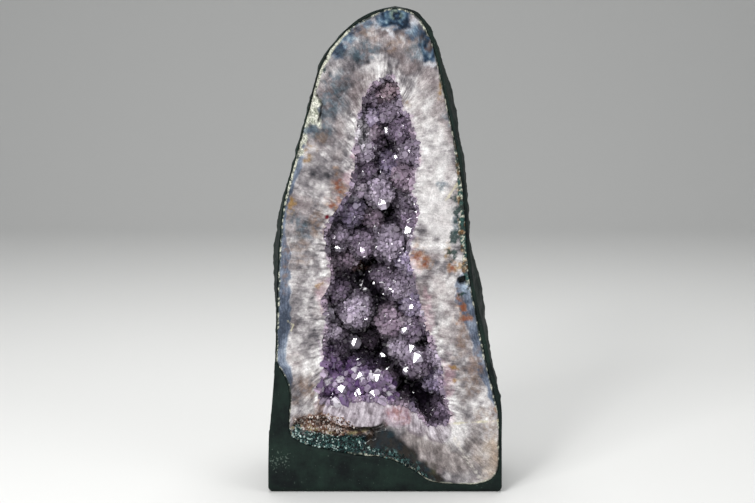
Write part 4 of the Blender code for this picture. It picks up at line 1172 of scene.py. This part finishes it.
# The cut is shaded smooth, and the small crystals on it keep their flat faces.
smooth_faces = np.arange(len(wall_mesh.polygons)) < sum(map(len, wall_faces))
wall_mesh.polygons.foreach_set("use_smooth", smooth_faces)
new_piece("geode_wall_stone", wall_mesh, "geode_wall", polished_quartz())

# %% [markdown]
# ## The amethyst crust
# The hollow is lined with small quartz points, coloured violet by iron. They grew outwards from knobs, so every
# point stands square to the surface below it. A bowl with the knobs on it comes first, and the scatter then
# spreads crystals over it.

# %% Crust bowl
BOWL_ROUND, BOWL_RINGS, BOWL_BACK_STEPS = 320, 56, (0.90, 0.68, 0.46, 0.26, 0.10)
RIM_BEHIND_FACE = 1.2 * MM
BOWL_ROUGH, BOWL_ROUGH_SIZE = 0.8 * MM, 6 * MM


def crust_bowl():
    """Inner rings follow the floor, depth * sin^0.6, and the knobs; outer rings follow the wall's hollow."""
    rim = through(SPOKES, np.arange(BOWL_ROUND) * len(SPOKES) / BOWL_ROUND)[:, 2:]
    spine = spine_of(rim)
    edge = moved_in(rim, spine, GAP)
    floor = floor_depth(spine[:, 1])
    stack = []
    for v in BOWL_BACK_STEPS:
        depth = (floor + CRUST_THICKNESS) * math.sin(v * math.pi / 2) ** HOLLOW_POWER - GAP
        stack.append(placed(spine + (edge - spine) * (1 - v), depth))
    for v in np.linspace(0, 0.99, BOWL_RINGS) ** 1.5:
        flat = spine + (edge - spine) * (1 - v)
        depth = knob_depth(flat, floor * math.sin(v * math.pi / 2) ** FLOOR_POWER)
        rough = BOWL_ROUGH * clouds(placed(flat, depth), BOWL_ROUGH_SIZE, 3, seed=71) * min(1.0, v / 0.03)
        stack.append(placed(flat, np.maximum(depth + rough, RIM_BEHIND_FACE)))
    ids = np.arange(len(stack) * BOWL_ROUND).reshape(len(stack), -1)
    return np.vstack(stack), ids, [ring_quads(ids), *strips(ids[0]), *strips(ids[-1])]


bowl_points, bowl_ids, bowl_faces = crust_bowl()
print("bowl:", sum(map(len, bowl_faces)), "faces")

# %% Places for the druse
DRUSE_SPACING = 2.4 * MM
inner_faces = [ring_quads(bowl_ids[len(BOWL_BACK_STEPS):]), *strips(bowl_ids[-1])]
druse_at, druse_facing = scatter(bowl_points, inner_faces, DRUSE_SPACING, seed=4)
print("druse:", len(druse_at), "places")

# %% [markdown]
# ### Druse and ledge
# The lining's points differ in size as if by chance, a log-normal spread, and lean a little from square. The ledge
# at the hollow's foot carries the largest crystals, which stand up, lean forward and show more of their prisms.

# %% Druse and ledge
LEDGE = ((-24, 84, 24, 14, 0), (-44, 92, 9, 14, 0), (-4, 80, 12, 11, 0))
LEDGE_SPACING, LEDGE_DEEPEST = 4.6 * MM, 20 * MM
DRUSE_RADIUS, DRUSE_SPREAD = DRUSE_SPACING * 0.68, 0.32
DRUSE_SMALLEST, DRUSE_LARGEST = 0.9 * MM, 3.4 * MM
TOWARD_VIEWER, UP_AND_FORWARD = np.array([0.0, -1.0, 0.0]), (0, -0.1, 0.5)
rng = np.random.default_rng(12)


def grown(at, axes, radius, **shape):
    """Crystals at these places, each turned about its own axis by chance."""
    return crystals(at, unit(axes), radius, rng.uniform(0, math.pi / 3, len(at)), rng, **shape)


spread = np.exp(rng.normal(0, DRUSE_SPREAD, len(druse_at)))
druse_radius = np.clip(DRUSE_RADIUS * spread, DRUSE_SMALLEST, DRUSE_LARGEST)
druse_axes = druse_facing + 0.15 * TOWARD_VIEWER + rng.normal(0, 0.30, druse_facing.shape)
druse = grown(druse_at, druse_axes, druse_radius)
print("druse crystals from %.1f to %.1f mm wide" % (2 * druse_radius.min() / MM, 2 * druse_radius.max() / MM))

large_at, large_facing = scatter(bowl_points, inner_faces, LEDGE_SPACING, seed=9)
on_shelf = (blots(large_at[:, ::2], LEDGE, soft=0.2) > 0.4) & (large_at[:, 1] - face_y(large_at[:, 2]) < LEDGE_DEEPEST)
large_at, large_facing = large_at[on_shelf], large_facing[on_shelf]
large_radius = LEDGE_SPACING * rng.uniform(0.52, 0.86, len(large_at))
large_axes = large_facing + UP_AND_FORWARD + rng.normal(0, 0.34, large_facing.shape)
large = grown(large_at, large_axes, large_radius, show=0.6)
print(len(large), "large crystals on the ledge")

# %% [markdown]
# ### Crystals that catch the light
# In the photograph some thirty flat tip faces flash white, because they happen to mirror the lamp. Chance won't
# put them in the same places, so these crystals are set one by one: a tip face is turned to halve the angle between
# the camera and the lamp, and the crystal's length is then as near to upright on the crust as that allows.

# %% Flashing crystals
LAMP_AT = np.array([-0.55, -1.25, 0.95])
FLASH_SIZE, FLASH_SHOW, FLASH_BURIED, FLASH_TAPER = 1.4, 0.1, 0.8, 0.7
# x, z and radius in millimetres of each flash that is seen; its crystal is FLASH_SIZE times as wide.
FLASHES = (
    (3, 287, 3.4), (-10, 274, 2.6), (-6, 269, 2.2), (10, 266, 3.0), (12, 262, 2.2), (-2, 253, 2.6), (-18, 253, 2.2),
    (-26, 236, 5.4), (-2, 230, 4.6), (-31, 226, 2.4), (20, 207, 4.6), (22, 199, 3.0), (-38, 194, 3.2), (-18, 191, 2.6),
    (-40, 181, 2.2), (-21, 168, 2.2), (-46, 143, 3.6), (-44, 138, 2.8), (30, 144, 2.4), (16, 128, 2.6),
    (-26, 114, 4.8), (0, 102, 3.6), (26, 106, 4.2), (22, 112, 3.2), (18, 95, 3.0), (22, 78, 3.4), (38, 77, 2.4),
    (46, 63, 2.4), (-34, 81, 4.4), (-6, 89, 3.8), (-8, 78, 3.8), (-24, 76, 3.6), (-20, 92, 3.0), (-48, 79, 2.4),
)


def square_to(directions, axes):
    """Each direction with its share along the axis taken out, at length 1."""
    return unit(directions - axes * np.sum(directions * axes, axis=1)[:, None])


def flash_places():
    """Stands each crystal on the bowl where named, its first tip face normal halfway from camera to lamp."""
    table = np.array(FLASHES) * MM
    at = np.column_stack((table[:, 0], np.zeros(len(table)), table[:, 1]))
    nearest = np.linalg.norm(druse_at[None, :, ::2] - at[:, None, ::2], axis=2).argmin(axis=1)
    at[:, 1] = druse_at[nearest, 1]
    normals = unit(unit(np.array(camera.location) - at) + unit(LAMP_AT - at))
    beside = square_to(druse_facing[nearest], normals)
    return at, normals * math.cos(TIP_ANGLE) + beside * math.sin(TIP_ANGLE), normals, FLASH_SIZE * table[:, 2]


def true_crystals(at, axes, normals, radius):
    """Regular crystals whose first tip face has a given normal: the hexagon is turned so that a flat faces it."""
    out = square_to(normals, axes)
    angles = (np.arange(6) + 0.5) * math.pi / 3
    hexagon = np.cos(angles)[:, None] * out[:, None] + np.sin(angles)[:, None] * np.cross(axes, out)[:, None]
    hexagon *= radius[:, None, None]
    shoulder = at[:, None] + hexagon + axes[:, None] * (FLASH_SHOW * radius)[:, None, None]
    base = at[:, None] + hexagon * FLASH_TAPER - axes[:, None] * (FLASH_BURIED * radius)[:, None, None]
    tip = at + axes * (FLASH_SHOW * radius + tip_rise(radius))[:, None]
    return np.concatenate((base, shoulder, tip[:, None]), axis=1)


flash_at, flash_axes, flash_normals, flash_radius = flash_places()
flashing = true_crystals(flash_at, flash_axes, flash_normals, flash_radius)
print(len(flashing), "crystals face the lamp")

# %% [markdown]
# ### Cutting the crystals flush and joining the crust
# The saw went through stone and crystals alike, so no tip stands in front of the cut. Corners that would are laid
# on the plane, as if sawn. The bowl and all crystals then become one mesh.

# %% Crust mesh
SAW_CLEARANCE = 0.15 * MM


def sawn(points):
    """Corners moved back onto the plane just behind the sawn face where they stand in front of it."""
    points[..., 1] = np.maximum(points[..., 1], face_y(points[..., 2]) + SAW_CLEARANCE)
    return points


all_crystals = sawn(np.concatenate((druse, large, flashing)))
crust_points = np.vstack((bowl_points, all_crystals.reshape(-1, 3)))
crystal_corners = [corners + len(bowl_points) for corners in crystal_faces(len(all_crystals))]
crust_mesh = new_mesh("amethyst_crust_points", crust_points, *bowl_faces, *crystal_corners)
print("crust:", len(all_crystals), "crystals,", len(crust_mesh.polygons), "faces")

# %% [markdown]
# ### Colours of the crust
# Amethyst is darkest where light has the longest way through it. In the photograph the knobs are a pale grey
# violet, each a little different, the clefts between them nearly black, and the ledge's crystals glassy violet and
# white. Here the knobs get painted light on their tops and painted shade on their skirts, the clefts and the deep
# hollow a painted shade near black, and the ledge's white is partly a painted reflection. Every crystal is one
# colour, worked out from its place, and every face of it is made a bit lighter or darker by a painted reflection.

# %% Crust colours
KNOB_TONES = ("#988c9e", "#887a8d", "#a599ab", "#7e7084", "#998798", "#8e829c")
# The ledge's white and pale lilac tones are partly pale quartz and partly a painted reflection of the soft boxes.
GLASSY_TONES, GLASSY_SHARES = ("#eee9f0", "#b7a9be", "#7d668b", "#4d3362"), (0.2, 0.25, 0.3, 0.25)
DEEP_VIOLET = ((-46, 95, 9, 18, 0), (-27, 96, 16, 6, 12))
RUSTY, FROSTED = ((-20, 175, 6, 5, 0), (3, 319, 8, 7, 0)), (-19, 286, 6.5, 10, 0)
RAYS_AT_ONCE = 8000


def to_rim_of(flat):
    """How far each (x, z) lies inside the mouth, measured along its ray from the spine."""
    spine = spine_of(flat)
    length = np.maximum(np.linalg.norm(flat - spine, axis=1), 1e-6)
    ray = (flat - spine) / length[:, None]
    parts = [slice(i, i + RAYS_AT_ONCE) for i in range(0, len(flat), RAYS_AT_ONCE)]
    return np.concatenate([reach_to(mouth_edge[::6], spine[part], ray[part]) for part in parts]) - length


def crust_colours(points, own):
    """Grey-violet that varies from knob to knob, with painted light on knob tops and painted shade on their skirts,
    painted shade near black in the clefts and deep in the hollow, violet on the ledge, pale at the rim.
    """
    flat = points[:, ::2]
    depth = points[:, 1] - face_y(points[:, 2])
    away = np.array([np.hypot(flat[:, 0] - x, flat[:, 1] - z) / radius for x, z, radius, _ in KNOBS])
    tones = np.array([linear(code) for code in KNOB_TONES])
    mottle = clouds(points, 9 * MM, 4, seed=81)
    from_knob = away.min(axis=0) + 0.28 * clouds(points, 7 * MM, 3, seed=87)
    ledge = blots(flat, LEDGE, soft=0.4) * smooth(depth, 26 * MM, 16 * MM)
    patchy = smooth(wander(flat, 10 * MM, 84), -0.2, 0.5) * smooth(depth, 14 * MM, 5 * MM)
    pale = smooth(to_rim_of(flat) + 3.0 * MM * wander(flat, 5 * MM, 85), 4.5 * MM, 0.5 * MM)
    # The step of five through the tones keeps neighbouring knobs apart.
    colour = laid(
        tones[(away.argmin(axis=0) * 5 + 2) % len(tones)],
        ("#574b5b", 0.65 * smooth(mottle, -0.1, 0.6)),
        ("#beb4bf", 0.45 * smooth(mottle, -0.25, -0.8)))
    # Painted light and shade: knob tops lighter and skirts darker, the clefts and the deep hollow painted near black.
    colour = laid(
        colour * (1.14 - 0.36 * smooth(from_knob, 0.35, 1.0))[:, None],
        ("#221b25", 0.82 * smooth(from_knob, 0.78, 1.15) * smooth(depth, 3 * MM, 11 * MM)),
        ("#130e17", 0.9 * smooth(depth, 18 * MM, 38 * MM)),
        ("#9b89a3", 0.8 * ledge),
        ("#543a62", 0.80 * ledge * smooth(own + 0.5 * wander(flat, 7 * MM, 83), -0.1, 0.3)),
        ("#664a78", 0.55 * blots(flat, DEEP_VIOLET, soft=0.5)),
        ("#7d5c4e", 0.45 * blots(flat, RUSTY, soft=0.5)),
        ("#bba6b9", 0.65 * pale * patchy),
        ("#d6d2d8", 0.9 * blot(flat, FROSTED, soft=0.5)))
    return np.clip(colour * (1 + 0.35 * own[:, None]), 0, 1)


print(len(KNOB_TONES), "tones for", len(KNOBS), "knobs")

# %% Stored colours, tips and faces
def painted_facet_reflections(count):
    """A painted reflection for each face: a random lighter or darker tone, for the part of the crystal's inside it
    mirrors.
    """
    tones = rng.uniform(0.55, 1.5, 12 * count)
    return np.concatenate((np.ones(sum(map(len, bowl_faces))), tones, np.ones(count)))


def tip_weights(count):
    """0 at a crystal's buried base, 0.6 at its shoulder and 1 at its tip; 0.2 on the bowl."""
    one = np.concatenate((np.zeros(6), np.full(6, 0.6), [1.0]))
    return np.concatenate((np.full(len(bowl_points), 0.2), np.tile(one, count)))


small_and_large = crust_colours(np.concatenate((druse_at, large_at)), rng.uniform(-1, 1, len(druse) + len(large)))
glassy = np.array([linear(code) for code in GLASSY_TONES])[rng.choice(4, len(large), p=GLASSY_SHARES)]
crystal_colours = np.vstack((
    small_and_large[:len(druse)],
    0.3 * small_and_large[len(druse):] + 0.7 * glassy,
    # The flashing crystals are mixed half with pale lilac, a painted highlight that makes their flashes stand out.
    0.5 * crust_colours(flash_at, np.zeros(len(flash_at))) + 0.5 * linear("#cfc8d6")))
bowl_colours = crust_colours(bowl_points, np.full(len(bowl_points), -0.6))
violet = np.vstack((bowl_colours, np.repeat(crystal_colours, CORNERS, axis=0)))
store(crust_mesh, "violet", violet, "FLOAT_COLOR")
store(crust_mesh, "tip", tip_weights(len(all_crystals)))
store(crust_mesh, "facet", painted_facet_reflections(len(all_crystals)), domain="FACE")
print("mean colour of the crust:", violet.mean(axis=0).round(3))

# %% [markdown]
# ### Amethyst
# Quartz with a trace of iron: IOR 1.544, glass-clear at the tip and cloudy at the root, with faces that grew flat
# and so reflect like polish. The eye gets dark violet depths, pale flashes and small dark specks of iron oxide,
# which are about a millimetre wide and stand about three apart. Each face also gets a painted reflection, a lighter
# or darker tone kept on the mesh.

# %% Amethyst material
AMETHYST_SPECK_MM, AMETHYST_VEIL_MM = 2.8, 3.0


def amethyst():
    """Per-crystal violet, deeper towards the tips, each face lighter or darker by its painted reflection, part clear,
    with specks and slightly uneven gloss.
    """
    material, tree, shader = new_material("amethyst")
    place = add(tree, "ShaderNodeTexCoord").outputs["Object"]
    colour = add(tree, "ShaderNodeVertexColor", {"layer_name": "violet"})
    tip, facet = (add(tree, "ShaderNodeAttribute", {"attribute_name": name}).outputs["Fac"]
                  for name in ("tip", "facet"))
    deep = add(tree, "ShaderNodeMapRange", in_0=tip, in_1=0.2, in_2=1.0, in_3=1.15, in_4=0.75)
    # Each face's painted reflection lightens or darkens its colour.
    shade = add(tree, "ShaderNodeMath", {"operation": "MULTIPLY"}, in_0=deep, in_1=facet)
    toned = add(tree, "ShaderNodeMix", TINT, in_0=1.0, in_6=colour, in_7=shade)
    dots = add(tree, "ShaderNodeTexVoronoi", Vector=place, Scale=1000 / AMETHYST_SPECK_MM, Randomness=1.0)
    speck = add(tree, "ShaderNodeMapRange", in_0=dots, in_1=0.17, in_2=0.24, in_3=0.9, in_4=0.0)
    specked = add(tree, "ShaderNodeMix", MIX, in_0=speck, in_6=toned, in_7=(*linear("#120a14"), 1))
    veil = add(tree, "ShaderNodeTexNoise", Vector=place, Scale=1000 / AMETHYST_VEIL_MM, Detail=4.0, Roughness=0.6)
    gloss = add(tree, "ShaderNodeMapRange", in_0=veil, in_1=0.35, in_2=0.7, in_3=0.03, in_4=0.16)
    plug(shader, Base_Color=specked, Roughness=gloss, IOR=QUARTZ_IOR, Transmission_Weight=0.2)
    return material


crust_mesh.shade_flat()
new_piece("amethyst_crust_points", crust_mesh, "amethyst_crust", amethyst())

# %% [markdown]
# ## Floor and light
# The stone stands on a plain pale sweep, a floor that curves up into a wall. A large soft box lights it from the
# upper left, a second fills from the right and a third hangs above. The lamp that the flashing faces mirror is
# smaller, and brighter for its size.

# %% Floor sweep
SWEEP_FRONT, SWEEP_BEND_AT, SWEEP_RADIUS, SWEEP_TOP, SWEEP_HALF_WIDTH = -6.0, 1.6, 0.9, 4.0, 14.0


def floor_sweep():
    """A profile along y, flat then a quarter circle then upright, carried along x."""
    bend = np.linspace(0, math.pi / 2, 24)
    arc = np.column_stack((SWEEP_BEND_AT + SWEEP_RADIUS * np.sin(bend), SWEEP_RADIUS * (1 - np.cos(bend))))
    profile = np.vstack(((SWEEP_FRONT, 0.0), arc, (SWEEP_BEND_AT + SWEEP_RADIUS, SWEEP_TOP)))
    points = np.vstack([np.column_stack((np.full(len(profile), x), profile))
                        for x in (-SWEEP_HALF_WIDTH, SWEEP_HALF_WIDTH)])
    n = np.arange(len(profile) - 1)
    mesh = bpy.data.meshes.new("floor_sweep")
    mesh.from_pydata(points.tolist(), [], np.stack((n, n + len(profile), n + len(profile) + 1, n + 1), -1).tolist())
    mesh.shade_smooth()
    material, _, shader = new_material("pale_paper")
    plug(shader, Base_Color=(*linear("#dcdcda"), 1), Roughness=0.8)
    mesh.materials.append(material)
    return in_scene("floor_sweep", mesh)


floor_sweep()
bpy.context.scene.view_settings.view_transform = "Standard"
print("floor laid")

# %% Lights
STONE_MIDDLE = Vector((0, -0.05, 0.2))


def soft_box(name, place, size, power):
    """A square area light that looks at the middle of the stone."""
    data = bpy.data.lights.new(name, "AREA")
    data.size, data.energy = size, power
    lamp = in_scene(name, data)
    lamp.location = place
    look_at(lamp, STONE_MIDDLE)


soft_box("key_box", (-0.8, -1.1, 1.0), 0.5, 11.5)
soft_box("fill_box", (1.2, -1.0, 0.7), 0.9, 5)
soft_box("top_box", (0.0, 0.3, 1.6), 1.0, 19)
soft_box("flash_lamp", tuple(LAMP_AT), 0.22, 8)
world = bpy.data.worlds.new("studio")
world.use_nodes = True
plug(world.node_tree.nodes["Background"], Color=(*linear("#e8ebee"), 1), Strength=0.3)
bpy.context.scene.world = world
